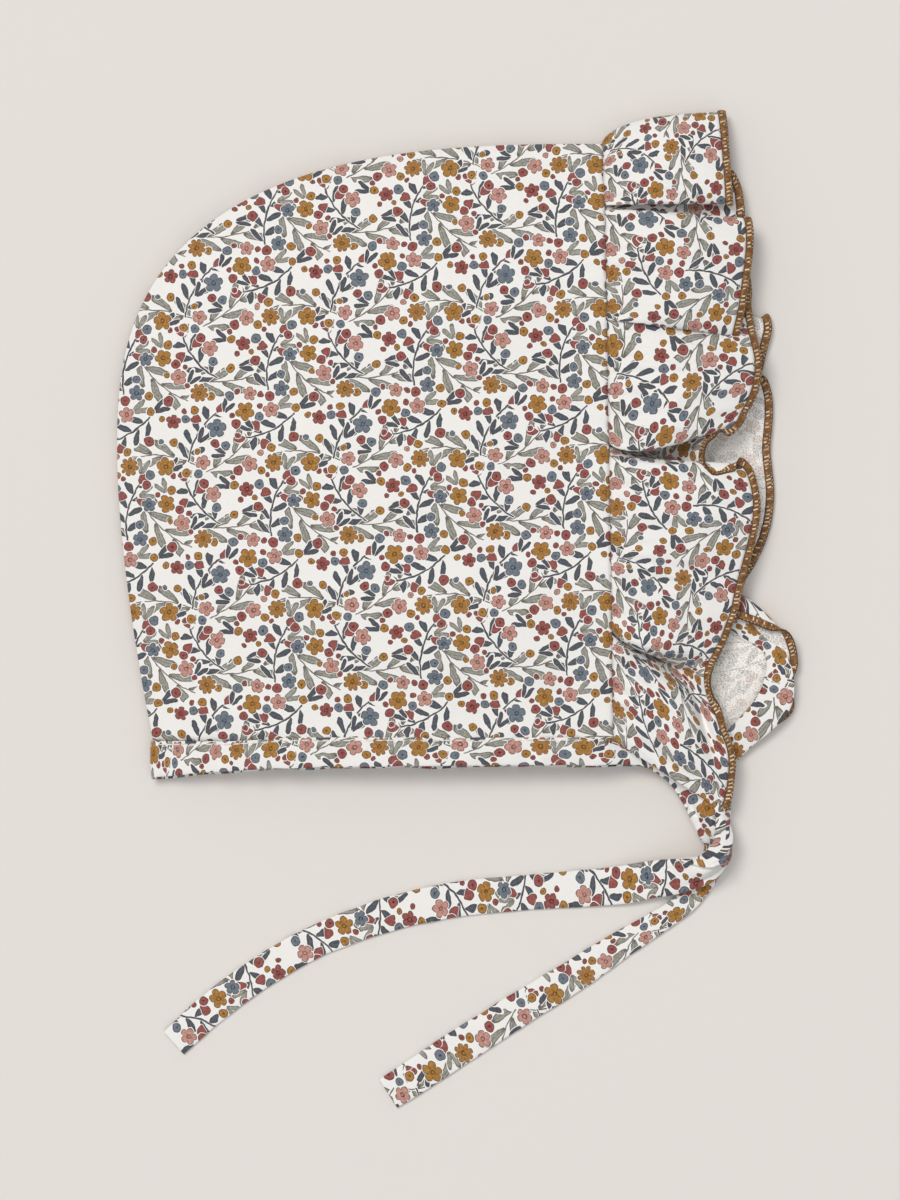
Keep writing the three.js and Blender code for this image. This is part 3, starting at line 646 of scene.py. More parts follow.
def mapped_grid(name, columns, rows, place, flat, closed=False):
    """A grid laid over a piece. place gives its points in mm, flat their places on the cut cloth."""
    grid = bmesh.new()
    bmesh.ops.create_grid(grid, x_segments=columns, y_segments=rows, size=0.5)
    shares = {vert: (vert.co.x + 0.5, vert.co.y + 0.5) for vert in grid.verts}
    layer = grid.loops.layers.uv.new("flat_cloth")
    for face in grid.faces:
        face.smooth = True
        for loop in face.loops:
            loop[layer].uv = flat(*shares[loop.vert])
    for vert, (u, v) in shares.items():
        vert.co = at(*place(u, v))
    if closed:
        bmesh.ops.remove_doubles(grid, verts=grid.verts, dist=0.002 * MM)
        rims = [edge for edge in grid.edges if edge.is_boundary]
        bmesh.ops.holes_fill(grid, edges=rims, sides=0)
        bmesh.ops.recalc_face_normals(grid, faces=grid.faces)
    return new_piece(name, grid)


def cloth_thickness(piece, thickness=CLOTH):
    """Give a sheet its thickness, with the wrong side of the print inside."""
    piece.data.materials.append(right_side)
    piece.data.materials.append(wrong_side)
    wall = piece.modifiers.new("cloth", "SOLIDIFY")
    wall.thickness = thickness * MM
    wall.offset = 0
    wall.material_offset = 1


PANEL_STEPS = 150
EDGE_CROWDING = 1.5
PANEL_SHIFT = 0.03


def panel_spot(a, b):
    return panel_plan(a**EDGE_CROWDING, 1 - (1 - b) ** EDGE_CROWDING)


def on_surface(surface):
    """Where the points of a panel go, from the height of its surface."""

    def place(a, b):
        x, y = panel_spot(a, b)
        return x - PANEL_SHIFT, y + PANEL_SHIFT, surface(x, y)

    return place


def upper_flat(a, b):
    x, y = panel_spot(a, b)
    return x + y * PRINT_TILT, y - x * PRINT_TILT


def lower_flat(a, b):
    x, y = panel_spot(a, b)
    return -x, y


panel_upper = mapped_grid(
    "panel_upper_cloth", PANEL_STEPS, PANEL_STEPS, on_surface(upper_surface), upper_flat,
)
panel_lower = mapped_grid(
    "panel_lower_cloth", PANEL_STEPS, PANEL_STEPS, on_surface(lower_surface), lower_flat,
)
bm = bmesh.new()
bm.from_mesh(panel_lower.data)
bmesh.ops.reverse_faces(bm, faces=bm.faces)
bm.to_mesh(panel_lower.data)
bm.free()
for piece, node in ((panel_upper, "panel_upper"), (panel_lower, "panel_lower")):
    cloth_thickness(piece)
    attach(piece, "root")
    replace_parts(piece, node)


# Ruffle. A strip of the same cotton 39 mm wide, gathered and pleated into the face seam. It runs from
# the upper side's neck corner over the crown and down the lower side, with its print turned sideways.
# Its folds are the upper side's three pleats, a deep hollow, a full stretch and a drooping tail.
RUFFLE_WIDTH = 39
# A row for each fold: its side (1 upper, 0 lower), its place on the face seam, how deep it is tucked
# there, the x, y and z of its edge, how far it bellies up in between, how far it bows up the page,
# how far it reaches past its edge, across and up, before it rolls back, and how deep a furrow runs
# beside its edge. Missing values are 0.
RUFFLE_FOLDS = [
    ("near_end", 1, -37.3, 0, 75.5, -57.5, 7.8, 1.2),
    ("tail_edge", 1, -34.0, 0, 76.6, -54.6, 8.6, 1.8),
    ("tail_ridge", 1, -29.5, 0, 77.4, -50.6, 9.4, 2.8),
    ("tail_top", 1, -24.5, 0, 77.9, -45.4, 9.8, 3.2, 0, 0, 0, 1.2),
    ("tail_slope", 1, -19.5, 0, 77.6, -40.8, 9.8, 2.8, 0.8, 0, 0, 3.6),
    ("tail_dip", 1, -15.0, 0.1, 75.8, -35.6, 9.6, 2.6, 1.2, 0, 0, 4.6),
    ("tail_hollow", 1, -11.4, 0.3, 73.9, -29.8, 9.6, 0.4, 1.2, 0, 0, 3.0),
    ("tail_rise", 1, -8.0, 1.0, 71.8, -24.6, 10.2, -6.0, 0.8),
    ("low_under", 1, -6.0, 1.5, 71.0, -20.4, 10.6, -8.4, -0.6),
    ("low_back", 1, -5.2, 0.7, 71.3, -16.4, 10.4, -1.6, -3.0),
    ("low_ridge", 1, -4.4, 0.1, 73.5, -12.3, 10.0, 3.6, -3.2),
    ("low_slope", 1, -1.0, 0, 75.7, -7.8, 9.5, 3.2, -0.8),
    ("waist", 1, 2.5, 0, 77.1, -3.9, 9.5, 2.4),
    ("waist_top", 1, 6.5, 0, 78.6, 0.0, 9.3, 1.6),
    ("full_low", 1, 11.0, 0, 79.6, 5.0, 9.2, 1.2),
    ("full_rise", 1, 16.0, 0, 81.3, 11.5, 9.6, 1.8),
    ("full", 1, 22.0, 0, 83.4, 19.5, 10.2, 2.6),
    ("full_high", 1, 28.0, 0, 84.8, 27.0, 10.8, 2.8),
    ("curl_low", 1, 33.8, 0, 84.8, 32.2, 10.6, 2.4),
    ("curl_turn", 1, 38.0, 0, 83.9, 36.9, 10.6, 2.0, 0.6),
    ("curl_top", 1, 41.0, 0.1, 82.4, 40.4, 11.0, 1.4, 0.8),
    ("curl_back", 1, 43.0, 0.4, 80.2, 42.0, 11.6, -0.4, 0.4),
    ("curl_in", 1, 44.6, 0.8, 76.8, 41.3, 12.0, -2.2, -0.2),
    ("hollow_low", 1, 45.9, 1.3, 72.4, 40.0, 12.3, -5.6, 0.4),
    ("hollow_back", 1, 46.7, 2.0, 69.9, 41.7, 12.2, -10.4, 0.8),
    ("hollow", 1, 47.3, 2.3, 69.5, 45.2, 11.4, -11.4, 0.9),
    ("hollow_high", 1, 47.7, 2.0, 70.8, 48.8, 10.8, -9.6, 0.6),
    ("lip_back", 1, 48.1, 1.3, 73.6, 51.0, 11.4, -5.6, -0.6),
    ("lip_under", 1, 48.4, 0.7, 77.0, 51.9, 11.8, -2.0, -2.6),
    ("lip", 1, 48.9, 0, 79.7, 53.9, 11.8, 2.6, -4.4),
    ("lip_high", 1, 52.2, 0, 81.6, 57.6, 11.6, 3.8, -3.2),
    ("third_low", 1, 57.0, 0, 83.6, 61.4, 11.8, 3.6, -0.8),
    ("third", 1, 63.0, 0, 85.0, 66.4, 12.2, 3.6),
    ("third_high", 1, 70.5, 0, 85.2, 72.6, 11.8, 3.2),
    ("third_top", 1, 78.5, 0.2, 84.2, 77.4, 10.4, 2.4),
    ("pleat_2_in", 1, 84.5, 1.0, 83.4, 81.6, 8.4, 1.2),
    ("pleat_2_low", 1, 87.0, 1.9, 82.5, 87.4, 7.0, 0.2),
    ("pleat_2", 1, 88.6, 2.3, 82.6, 92.6, 6.2, 0),
    ("pleat_2_turn", 1, 89.2, 2.0, 82.0, 95.8, 6.8, 0.2),
    ("pleat_2_back", 1, 88.0, 1.5, 81.0, 93.6, 8.0, 0.6),
    ("pleat_2_down", 1, 85.6, 1.0, 79.8, 86.2, 9.0, 1.2),
    ("second_under", 1, 83.9, 0.7, 79.0, 80.6, 9.8, 1.8),
    ("second_low", 1, 83.4, 0.3, 78.8, 79.0, 11.0, 2.4),
    ("second_rise", 1, 84.2, 0, 79.2, 80.8, 12.2, 3.0),
    ("second", 1, 89.0, 0, 80.6, 87.4, 12.6, 3.6),
    ("second_mid", 1, 97.0, 0, 81.8, 96.0, 12.4, 3.2),
    ("second_high", 1, 105.0, 0, 82.7, 104.0, 12.0, 3.4),
    ("second_edge", 1, 112.0, 0, 82.7, 110.6, 11.0, 2.4, 0.2),
    ("second_top", 1, 114.8, 0.3, 82.1, 112.8, 9.8, 1.4, 0.4),
    ("pleat_1_in", 1, 114.6, 1.2, 81.4, 111.6, 8.2, -0.2, 0.3),
    ("pleat_1_low", 1, 115.2, 2.0, 80.8, 111.8, 6.8, -0.8, 0.2),
    ("pleat_1", 1, 117.2, 2.6, 80.4, 116.6, 5.8, -0.6),
    ("pleat_1_high", 1, 119.2, 2.6, 79.6, 121.8, 5.8, -0.2),
    ("pleat_1_turn", 1, 120.0, 2.0, 77.6, 125.4, 6.6, 0.2),
    ("pleat_1_back", 1, 119.2, 1.4, 76.8, 123.4, 7.8, 0.6),
    ("first_under", 1, 117.2, 0.8, 76.8, 118.6, 8.8, 1.2),
    ("first_low", 1, 116.6, 0.3, 77.0, 117.0, 10.0, 2.0),
    ("first_rise", 1, 117.4, 0, 76.9, 118.6, 11.4, 2.8),
    ("first", 1, 121.0, 0, 76.6, 123.4, 11.6, 3.4, 0.3),
    ("first_mid", 1, 126.5, 0, 76.1, 131.0, 10.4, 3.2, 1.2),
    ("first_high", 1, 131.0, 0, 75.6, 138.4, 8.4, 2.2, 2.4),
    ("crest_high", 1, 134.2, 0, 75.2, 143.0, 5.8, 0.8, 3.3),
    ("crest", 0.5, 135.2, 0, 75.1, 143.9, 4.4, 0, 3.4),
    ("crest_low", 0, 134.2, 0, 75.1, 142.9, 3.0, -0.2, 3.2),
    ("far_top", 0, 130.0, 0, 74.8, 138.0, 2.0, 0, 2.0),
    ("far_first", 0, 121.8, 0, 75.8, 128.0, 1.4, 0, 0.4),
    ("far_low", 0, 111.6, 0, 77.6, 115.0, 1.2),
    ("far_second", 0, 102.0, 0, 80.4, 102.0, 1.1),
    ("far_tip_hidden", 0, 95.5, 0.1, 81.6, 90.0, 1.0),
    ("far_tip_under", 0, 93.3, 0.2, 82.6, 83.2, 1.0),
    ("far_tip_fold", 0, 92.4, 0.1, 86.0, 83.6, 1.3),
    ("far_tip_top", 0, 91.0, 0, 88.0, 84.6, 2.0, 0.2),
    ("far_tip", 0, 88.0, 0, 88.6, 81.6, 2.4, 0.3),
    ("far_tip_low", 0, 81.0, 0, 87.2, 75.4, 2.0, 0.2),
    ("far_notch", 0, 74.5, 0, 86.0, 69.8, 1.4, 0.1),
    ("far_third_under", 0, 71.0, 0.2, 84.2, 64.6, 1.0),
    ("far_third_fold", 0, 70.2, 0.1, 85.6, 66.2, 1.4),
    ("far_third_top", 0, 69.0, 0, 87.2, 66.2, 2.0, 0.1),
    ("far_third", 0, 66.0, 0, 88.6, 62.4, 2.2, 0.2),
    ("far_third_low", 0, 60.0, 0, 88.9, 56.0, 1.9, 0.2),
    ("far_full", 0, 51.0, 0, 88.2, 46.6, 1.8, 0.2),
    ("far_full_low", 0, 38.0, 0, 89.3, 33.5, 1.6, 0.2),
    ("far_slope", 0, 27.0, 0, 88.0, 23.5, 1.5, 0.2),
    ("far_slope_low", 0, 16.0, 0, 84.0, 14.0, 1.4, 0.1),
    ("far_waist_top", 0, 9.0, 0, 79.6, 7.0, 1.6, 0, 0, 0.4, 1.0),
    ("far_waist", 0, 4.0, 0, 78.6, 1.6, 2.6, -0.3, 0, 1.0, 3.8),
    ("loop_top", 0, -2.0, 0, 82.4, -0.6, 4.0, -0.8, 0, 1.6, 6.4),
    ("loop_arc", 0, -8.0, 0, 88.0, -2.9, 4.8, -1.0, 0, 2.6, 5.8),
    ("loop", 0, -13.0, 0, 92.7, -5.4, 5.0, -1.0, 0, 2.4, 3.4),
    ("loop_side", 0, -18.0, 0, 95.2, -10.0, 4.4, -0.5, 0, 0.8, 1.2),
    ("loop_low", 0, -23.0, 0, 96.0, -15.8, 3.5, 0, 0, 0.2, 0.4),
    ("loop_bottom", 0, -28.0, 0, 94.2, -21.4, 2.6, 0.2),
    ("loop_tuft", 0, -31.5, 0, 95.0, -28.2, 1.8, 0.2),
    ("loop_end", 0, -34.5, 0, 89.8, -32.4, 1.5, 0.2),
    ("far_end", 0, -37.3, 0, 84.4, -36.4, 1.5, 0.3),
]
FOLD_KEYS = ("fold", "side", "seam", "tuck", "x", "y", "z", "lift", "bow", "roll_across", "roll_up",
             "furrow")
ROLL_START = 0.7
GATHER_PITCH = 5.2


class SmoothTable:
    """Smooth values between the rows of a table of points, at a place counted in rows."""

    def __init__(self, keys, rows):
        self.rows = [dict(zip(keys, row + (0,) * (len(keys) - len(row)))) for row in rows]
        self.last = len(rows) - 1
        points = [Vector((row["x"], row["y"], row["z"])) for row in self.rows]
        self.gaps = [math.sqrt((b - a).length) for a, b in zip(points, points[1:])]

    def point(self, place):
        return Vector([self.value(key, place) for key in ("x", "y", "z")])

    def rise(self, key, i):
        return (self.rows[i + 1][key] - self.rows[i][key]) / self.gaps[i]

    def slope(self, key, i):
        if i == 0:
            return self.rise(key, 0)
        if i == self.last:
            return self.rise(key, i - 1)
        before, after = self.gaps[i - 1], self.gaps[i]
        return (self.rise(key, i - 1) * after + self.rise(key, i) * before) / (before + after)

    def value(self, key, place):
        i = min(self.last - 1, max(0, int(place)))
        t = place - i
        a, b = self.rows[i][key], self.rows[i + 1][key]
        p, q = self.slope(key, i) * self.gaps[i], self.slope(key, i + 1) * self.gaps[i]
        return a + t * (p + t * (3 * (b - a) - 2 * p - q + t * (2 * (a - b) + p + q)))


folds = SmoothTable(FOLD_KEYS, RUFFLE_FOLDS)


def gathers(seam_y, gap):
    """Small puckers where the strip is drawn up along the face seam, running out over the ruffle."""
    shake = 2.5 * soft_noise(seam_y / 9, 0, 7)
    wave = math.sin(seam_y / GATHER_PITCH * 2 * math.pi + shake)
    strength = 0.7 + 0.6 * soft_noise(seam_y / 14, 3, 1)
    return 0.75 * wave * strength * math.exp(-gap / 10) * (1 - math.exp(-gap / 1.4))


def ruffle_point(place, out):
    """A point of the ruffle, where out is 0 at the face seam and 1 at the cut edge."""
    side, seam_y = clamp(folds.value("side", place)), folds.value("seam", place)
    seam_x = face_seam_x(seam_y)
    upper = upper_height(seam_x, min(seam_y, CROWN_Y)) + 0.12 - folds.value("tuck", place)
    seam = Vector((seam_x + 0.03, seam_y, lerp(lower_height(seam_x, seam_y), upper, side)))
    point = seam.lerp(folds.point(place), out)
    belly = 4 * out * (1 - out)
    roll = Vector((folds.value("roll_across", place), folds.value("roll_up", place)))
    rolled = clamp((out - ROLL_START) / (1 - ROLL_START))
    point.x += roll.x * math.sin(math.pi * rolled)
    point.y += roll.y * math.sin(math.pi * rolled)
    point.z += roll.length * 0.22 * (rolled - math.sin(math.pi * clamp(out)))
    point.y += folds.value("bow", place) * math.sin(math.pi * out**0.6)
    point.z += folds.value("lift", place) * belly
    point.z -= folds.value("furrow", place) * bell((out - 0.84) / 0.075) * (1 - out**20)
    drift = soft_noise(seam_y / 7.5, out * 1.6, 3)
    crease = 0.35 - abs(soft_noise(seam_y / 4.2 + out * 1.4, out * 1.1, 21))
    ripple = soft_noise(point.x / 5, point.y / 4, 8)
    point.z += side * (1.2 * drift + 1.5 * crease + 0.35 * ripple) * belly
    point.z += side * gathers(seam_y, out * RUFFLE_WIDTH) + side * seam_ditch(out * RUFFLE_WIDTH)
    point.z = max(point.z, 0.3)
    return point


def run_along(points):
    """How far along a row of points each of them is."""
    run = [0.0]
    for before, after in zip(points, points[1:]):
        run.append(run[-1] + (after - before).length)
    return run


# How far along the cut strip each place is, measured beside its edge.
STRIP_STEPS = 1400
MEASURED_OUT = 0.75
strip_places = [folds.last * i / STRIP_STEPS for i in range(STRIP_STEPS + 1)]
strip_run = run_along([ruffle_point(place, MEASURED_OUT) for place in strip_places])


def place_on_strip(share):
    """The place, counted in folds, at a share of the strip's length."""
    run = share * strip_run[-1]
    i = min(STRIP_STEPS - 1, bisect.bisect_right(strip_run, run) - 1)
    t = (run - strip_run[i]) / max(1e-9, strip_run[i + 1] - strip_run[i])
    return lerp(strip_places[i], strip_places[i + 1], clamp(t))


RUFFLE_COLUMNS, RUFFLE_ROWS = 44, 1050

ruffle = mapped_grid(
    "ruffle_cloth", RUFFLE_COLUMNS, RUFFLE_ROWS,
    lambda out, share: ruffle_point(place_on_strip(share), out),
    lambda out, share: (-share * strip_run[-1], out * RUFFLE_WIDTH),
)
cloth_thickness(ruffle)
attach(ruffle, "root")
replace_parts(ruffle, "ruffle")


# Ruffle edging. The raw edge is overlocked in ochre-brown thread: threads wrap the edge side by side,
# with a twisted chain along the outside, and lighter flecks where a stitch's loop catches the light.
EDGING_WIDTH, EDGING_THICKNESS = 2.55, 1.2
THREAD_PITCH = 0.62
LOOP_PITCH = 1.1
THREAD_LEAN = 0.35
THREAD_COLOUR = (0.190, 0.076, 0.013, 1)
# Painted shade: the dark colour laid in the grooves between the wrapped threads and along both rims of the
# edging.
THREAD_SHADE = (0.038, 0.013, 0.0035, 1)
THREAD_LIGHT = (0.37, 0.175, 0.036, 1)
THREAD_GLINT = (0.90, 0.76, 0.56, 1)


def strip_frame(share):
    """The cut edge at a share of the strip, with its outward, along and through directions."""
    place = place_on_strip(share)
    edge = ruffle_point(place, 1)
    outward = (edge - ruffle_point(place, 0.96)).normalized()
    ahead = ruffle_point(place_on_strip(min(1, share + 0.0015)), 1)
    behind = ruffle_point(place_on_strip(max(0, share - 0.0015)), 1)
    along = (ahead - behind).normalized()
    through = along.cross(outward).normalized()
    return edge, through.cross(along).normalized(), through


EDGE_ROWS, EDGE_COLUMNS = 3600, 16
edge_frames = [strip_frame(i / EDGE_ROWS) for i in range(EDGE_ROWS + 1)]
edge_run = run_along([edge for edge, _, _ in edge_frames])


def squarish(value, power):
    """Fill out a round section towards a square one."""
    return math.copysign(abs(value) ** power, value)


def edging_place(turn, share):
    row = round(share * EDGE_ROWS)
    edge, outward, through = edge_frames[row]
    angle = turn * 2 * math.pi
    cos, sin = math.cos(angle), math.sin(angle)
    across, thick = squarish(cos, 0.75), squarish(sin, 0.75)
    lean = THREAD_LEAN * across if sin > 0 else -THREAD_LEAN * across
    loop = abs(math.sin(math.pi * (edge_run[row] / LOOP_PITCH + lean)))
    chain = ease(across, 0.3, 1.0)
    uneven = soft_noise(edge_run[row] / 3.1, across, 2)
    swell = 0.86 + 0.14 * loop + 0.10 * chain + 0.12 * uneven
    reach = EDGING_WIDTH / 2 * (0.95 + 0.05 * loop * chain + 0.05 * uneven)
    centre = edge + outward * (EDGING_WIDTH / 2 - 0.25)
    return centre + outward * (across * reach) + through * (thick * EDGING_THICKNESS / 2 * swell)


def overlock_thread():
    made, shader = new_material("overlock_thread", {"Roughness": 0.6, "Sheen Weight": 0.1})
    w = Wiring(made.node_tree)
    turn, run, _ = w.split(w.node("ShaderNodeUVMap", uv_map="flat_cloth").outputs[0])
    angle = w.math("MULTIPLY", turn, 2 * math.pi)
    across = w.math("COSINE", angle)
    top = w.math("SIGN", w.math("SINE", angle))
    lean = w.math("MULTIPLY", w.math("MULTIPLY", across, top), THREAD_LEAN)
    twist = w.math("ADD", w.math("DIVIDE", run, THREAD_PITCH), lean)
    thread = w.math("ABSOLUTE", w.math("SINE", w.math("MULTIPLY", twist, math.pi)))
    uneven = w.fogged(w.join(w.math("MULTIPLY", run, 0.9), across), 1.0, 3.0)
    # Painted shade: darker in the grooves between the threads, then on both rims of the edging's section.
    body = w.blend(w.math("POWER", thread, 0.5), THREAD_SHADE, THREAD_COLOUR)
    body = w.blend(w.math("MULTIPLY", w.math("GREATER_THAN", uneven, 0.52), 0.5), body, THREAD_LIGHT)
    shaded_rim = w.math("MULTIPLY", w.math("GREATER_THAN", w.math("ABSOLUTE", across), 0.74), 0.6)
    body = w.blend(shaded_rim, body, THREAD_SHADE)
    loop = w.math("ADD", w.math("DIVIDE", run, LOOP_PITCH), lean)
    beside = w.math("ABSOLUTE", w.math("SUBTRACT", w.math("FRACT", loop), 0.5))
    number = w.math("FLOOR", loop)

    def by_loop(step, row):
        """A value that changes from one loop to the next."""
        return w.fogged(w.join(w.math("MULTIPLY", number, step), row), 1.0, 0.0)

    shift = by_loop(7.3, 2.0)
    off = w.math("ABSOLUTE", w.math("ADD", across, w.math("MULTIPLY_ADD", shift, 0.9, -0.3)))
    length = w.math("MULTIPLY_ADD", by_loop(3.7, 5.0), 1.1, -0.16)
    fleck = w.math("MULTIPLY", w.within(beside, 0.18), w.within(off, length))
    dot_off = w.math("ABSOLUTE", w.math("SUBTRACT", across, w.math("MULTIPLY_ADD", shift, 0.5, 0.4)))
    dot = w.math("MULTIPLY", w.math("GREATER_THAN", beside, 0.36), w.within(dot_off, 0.13))
    chosen = w.math("GREATER_THAN", by_loop(0.83, 9.0), 0.46)
    shine = w.math("MINIMUM", w.math("MULTIPLY_ADD", by_loop(5.1, 4.0), 1.6, -0.15), 1.0)
    fleck = w.math("MULTIPLY", w.math("MAXIMUM", fleck, dot), chosen)
    body = w.blend(w.math("MULTIPLY", fleck, shine), body, THREAD_GLINT)
    w.feed(shader.inputs["Base Color"], body)
    w.bump(shader, thread, 0.5, 0.15)
    return made


edging = mapped_grid(
    "ruffle_overlock", EDGE_COLUMNS, EDGE_ROWS, edging_place,
    lambda turn, share: (turn, edge_run[round(share * EDGE_ROWS)]), closed=True,
)
edging.data.materials.append(overlock_thread())
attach(edging, "root")
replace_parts(edging, "ruffle_edging")


# Neck binding. A strip of the cotton folded over the neck edge, from the upper side's front round the
# nape and back along the lower side, and topstitched close to its seam. Its print runs on in the tie.
BINDING_TOP_RISE = 1.2
BINDING_FOLD_Y, BINDING_SAG, BINDING_SAG_LENGTH = -44.6, 4, 28
BINDING_HEIGHT = 8.4
BINDING_FRONT_X = 50.4
BINDING_RUN = 280
BINDING_THICKNESS = 1.2
BINDING_PRINT_SHIFT = 13
STITCH_LENGTH, STITCH_GAP = 2.3, 0.7
STITCH_WIDTH, STITCH_HEIGHT = 0.5, 0.34
STITCH_COLOUR = (0.80, 0.77, 0.72, 1)


def folded_section(turn, half_width, half_thickness):
    """A point round a flat folded strip: how far across and how far through it."""
    angle = turn * 2 * math.pi
    return half_width * squarish(math.cos(angle), 0.45), half_thickness * squarish(math.sin(angle), 0.8)


def binding_point(share, down):
    """A point of the binding's middle: share goes from front to nape to front, down from seam to fold."""
    to_nape = 1 - abs(2 * share - 1) ** 1.2
    nape_x = face_seam_x(NECK_SEAM_Y) - panel_depth(NECK_SEAM_Y) - 0.4
    x = lerp(BINDING_FRONT_X, nape_x, to_nape)
    top_y = NECK_SEAM_Y - 0.1 + BINDING_TOP_RISE * ease(x, nape_x + 20, nape_x + 45)
    waver = 0.3 * soft_noise(x / 7, share * 2, 4)
    fold_y = BINDING_FOLD_Y - BINDING_SAG * math.exp((nape_x - x) / BINDING_SAG_LENGTH) + waver
    y = lerp(top_y, fold_y, down)
    dip = 3.2 * ease(x, 38, 49)
    upper = upper_height(x, y) + 0.1 - dip
    lower = lower_height(x, y, BINDING_THICKNESS)
    upper += down * 0.45 * math.sin(x * 0.62 + 3 * soft_noise(x / 13, 0, 6))
    upper += 0.3 * soft_noise(x / 6, down * 1.5, 11)
    turn = ease(share, 0.485, 0.515)
    y -= down * turn * (0.8 + 0.7 * soft_noise(x / 15, 5, 5))
    return Vector((x, y, lerp(upper, lower, turn)))


def binding_directions(share):
    ahead = binding_point(min(1, share + 0.002), 0.5)
    behind = binding_point(max(0, share - 0.002), 0.5)
    along = (ahead - behind).normalized()
    return along, Vector((0, 1, 0)).cross(along).normalized()


BINDING_ROWS, BINDING_COLUMNS = 520, 28


def binding_place(turn, share):
    across, through = folded_section(turn, 0.5, BINDING_THICKNESS / 2)
    _, normal = binding_directions(share)
    return binding_point(share, 0.5 + across) + normal * through


def binding_flat(turn, share):
    across, _ = folded_section(turn, 0.5, 1)
    return BINDING_PRINT_SHIFT - share * BINDING_RUN, -across * BINDING_HEIGHT


def sewing_thread():
    made, shader = new_material("sewing_thread", {"Roughness": 0.7})
    w = Wiring(made.node_tree)
    place = w.node("ShaderNodeTexCoord").outputs["Object"]
    shade = w.math("MULTIPLY_ADD", w.fogged(place, 900.0), 0.4, 0.75)
    w.feed(shader.inputs["Base Color"], w.tint(STITCH_COLOUR[:3], shade))
    return made


def stitches(name, spots):
    """Sewn stitches, each a small rounded thread along its seam. A spot is a middle, along and normal."""
    sewn = bmesh.new()
    for middle, along, normal in spots:
        made = bmesh.ops.create_uvsphere(sewn, u_segments=6, v_segments=5, radius=0.5)
        across = normal.cross(along).normalized()
        for vert in made["verts"]:
            spot = along * (vert.co.z * STITCH_LENGTH) + across * (vert.co.x * STITCH_WIDTH)
            vert.co = at(*(middle + spot + normal * (vert.co.y * STITCH_HEIGHT)))
    for face in sewn.faces:
        face.smooth = True
    bmesh.ops.recalc_face_normals(sewn, faces=sewn.faces)
    piece = new_piece(name, sewn)
    piece.data.materials.append(sewing_thread())
    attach(piece, "root")
    return piece


def binding_stitch_spots():
    count = round(BINDING_RUN / (STITCH_LENGTH + STITCH_GAP))
    for i in range(count):
        share = (i + 0.5) / count
        if abs(share - 0.5) < 0.02:
            continue
        along, normal = binding_directions(share)
        yield binding_point(share, 0.1) + normal * (BINDING_THICKNESS / 2), along, normal


binding = mapped_grid(
    "neck_binding_cloth", BINDING_COLUMNS, BINDING_ROWS, binding_place, binding_flat, closed=True,
)
binding.data.materials.append(right_side)
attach(binding, "root")
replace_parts(binding, "neck_binding")
stitches("neck_binding_stitches", binding_stitch_spots())


# Ties. Each is a strip of the cotton folded in four, about 10 mm wide. The upper one leaves the
# binding, bunches, turns over the lower one, and both trail on the surface.
TIE_KEYS = ("at", "x", "y", "z", "width", "thick", "roll")
UPPER_TIE = [
    ("binding", 49.6, -40.6, 8.5, 8.0, 1.1, 0),
    ("front", 52.0, -40.8, 8.0, 8.1, 1.2, 0),
    ("under_ruffle", 58.0, -42.4, 6.4, 8.8, 1.6, 4),
    ("gather", 64.6, -47.0, 5.4, 9.6, 2.4, 12),
    ("slope", 69.8, -54.8, 5.2, 10.0, 3.2, 22),
    ("twist", 73.2, -61.6, 6.2, 11.0, 4.4, 38),
    ("twist_low", 75.6, -67.6, 7, 9.6, 5.4, 78),
    ("turn", 73.4, -73.4, 7.1, 9.0, 5.0, 125),
    ("turn_out", 66.4, -76.2, 5.6, 10, 3.2, 160),
    ("fall", 56.6, -77.9, 3.3, 11, 2, 177),
    ("touch", 46, -79.8, 1.7, 11, 1.5, 180),
    ("run", 34.5, -80.8, 0.8, 10.6, 1.3, 180),
    ("bend", 17, -82.1, 0.7, 10.2, 1.3, 180),
    ("bow", -2.3, -84.2, 0.7, 10.2, 1.3, 180),
    ("bow_low", -21.7, -88.7, 0.7, 9.8, 1.3, 180),
    ("sweep", -41, -96, 0.7, 9.3, 1.3, 180),
    ("sweep_low", -57, -105, 0.7, 9.3, 1.3, 180),
    ("last", -71, -115.2, 0.7, 9.3, 1.3, 180),
    ("tip", -82.4, -125.5, 0.7, 8.8, 1.3, 180),
]
LOWER_TIE = [
    ("under_edge", 78.6, -2.7, 2.9, 5.0, 1.0, 0),
    ("arm", 82.5, -5.0, 3.0, 5.2, 1.0, 0),
    ("arm_mid", 86.6, -7.6, 3.2, 5.3, 1.0, 0),
    ("arm_out", 90.4, -10.5, 3.6, 5.6, 1.1, 0),
    ("turn_down", 92.3, -14.7, 4.4, 6.6, 1.2, 0),
    ("over_tail", 92.8, -20.5, 4.8, 9.0, 1.3, 0),
    ("over_edge", 91.4, -26.4, 4.5, 10.0, 1.4, 0),
    ("drop", 87.0, -32.0, 3.9, 9.4, 1.5, 0),
    ("drop_low", 81.6, -37.0, 3.0, 8.2, 1.6, 0),
    ("floor", 76.8, -44.5, 1.6, 7, 1.8, 0),
    ("under_ruffle", 75.8, -54.0, 1.1, 7, 1.9, 0),
    ("under_twist", 75.4, -63, 1, 6.8, 1.9, 0),
    ("under_turn", 74, -72, 1, 6.8, 1.9, 0),
    ("out", 70.6, -79.2, 1, 6.6, 1.9, 0),
    ("narrow", 65.4, -85.1, 0.95, 6.6, 1.8, 0),
    ("narrow_low", 55.7, -91.8, 0.8, 7.0, 1.5, 0),
    ("run", 46, -97.8, 0.75, 8.2, 1.4, 0),
    ("run_low", 36.3, -104.3, 0.7, 9.2, 1.3, 0),
    ("bend", 17, -116.2, 0.7, 9.8, 1.3, 0),
    ("sweep", -2.3, -128.5, 0.7, 10.3, 1.3, 0),
    ("last", -11.5, -134.6, 0.7, 10.2, 1.3, 0),
    ("tip", -20.2, -140.2, 0.7, 9.8, 1.3, 0),
]
TIE_ROWS, TIE_COLUMNS = 640, 60
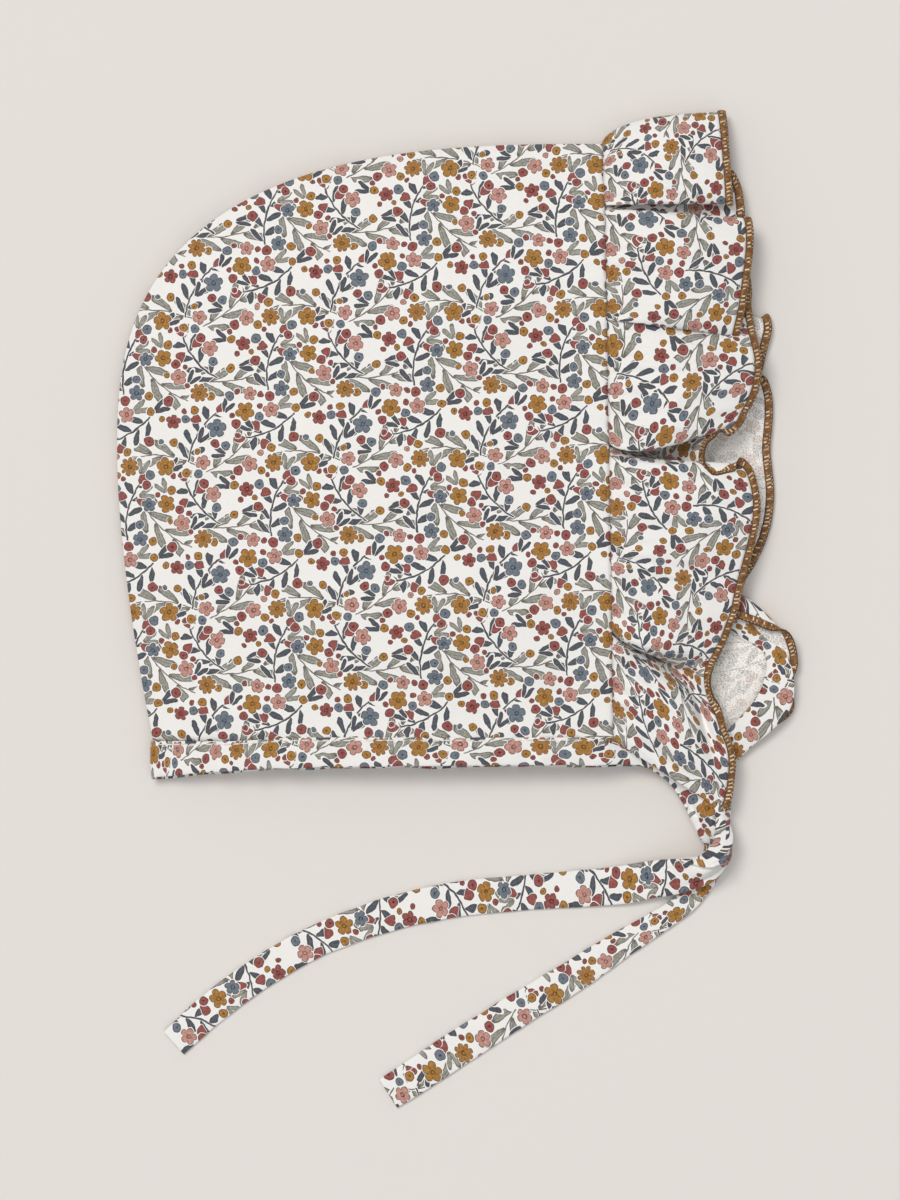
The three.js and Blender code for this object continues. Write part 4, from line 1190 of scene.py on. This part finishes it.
TWIST_CREASES = ((-0.5, 0.60), (0.06, 0.72), (0.52, 0.65))
TIE_PRINT_HALF_WIDTH = 4.2
LOWER_TIE_PRINT_SHIFT = 25


def tie(name, rows, print_shift):
    table = SmoothTable(TIE_KEYS, rows)
    steps = [table.last * i / TIE_ROWS for i in range(TIE_ROWS + 1)]
    frames = []
    for place in steps:
        ahead, behind = table.point(min(table.last, place + 0.05)), table.point(max(0, place - 0.05))
        along = (ahead - behind).normalized()
        level = Vector((0, 0, 1)).cross(along).normalized()
        upright = along.cross(level)
        roll = math.radians(table.value("roll", place))
        across = level * math.cos(roll) + upright * math.sin(roll)
        frames.append((table.point(place), across, along.cross(across)))
    run = run_along([middle for middle, _, _ in frames])

    def place_at(turn, share):
        row = round(share * TIE_ROWS)
        middle, across, through = frames[row]
        width, thick = table.value("width", steps[row]), table.value("thick", steps[row])
        bunched = ease(thick, 1.4, 4.5)
        waver = 0.18 * soft_noise(run[row] / 7, 1 if turn < 0.25 or turn > 0.75 else 5, 2)
        side, up = folded_section(turn, width / 2 + waver, thick / 2)
        crease = soft_noise(run[row] / 11, side / 1.5, 3 if up > 0 else 8)
        fold = 0.12 * soft_noise(run[row] / 5, side / 3, 6)
        up *= 1 + bunched * (0.5 - 1.5 * abs(crease))
        for share_across, depth in TWIST_CREASES:
            wander = 0.9 * soft_noise(run[row] / 6, share_across * 9, 2)
            gap = (side - share_across * width / 2 - wander) / 0.55
            up *= 1 - bunched * depth * bell(gap)
        return middle + across * side + through * (up + fold * (1 - bunched))

    def flat_at(turn, share):
        side, up = folded_section(turn, TIE_PRINT_HALF_WIDTH, 1)
        under = -2 * TIE_PRINT_HALF_WIDTH - side
        return run[round(share * TIE_ROWS)] + print_shift, side if up >= 0 else under

    piece = mapped_grid(name, TIE_COLUMNS, TIE_ROWS, place_at, flat_at, closed=True)
    piece.data.materials.append(right_side)
    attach(piece, "root")
    return piece


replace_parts(tie("tie_upper_cloth", UPPER_TIE, BINDING_PRINT_SHIFT), "tie_upper")
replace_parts(tie("tie_lower_cloth", LOWER_TIE, LOWER_TIE_PRINT_SHIFT), "tie_lower")
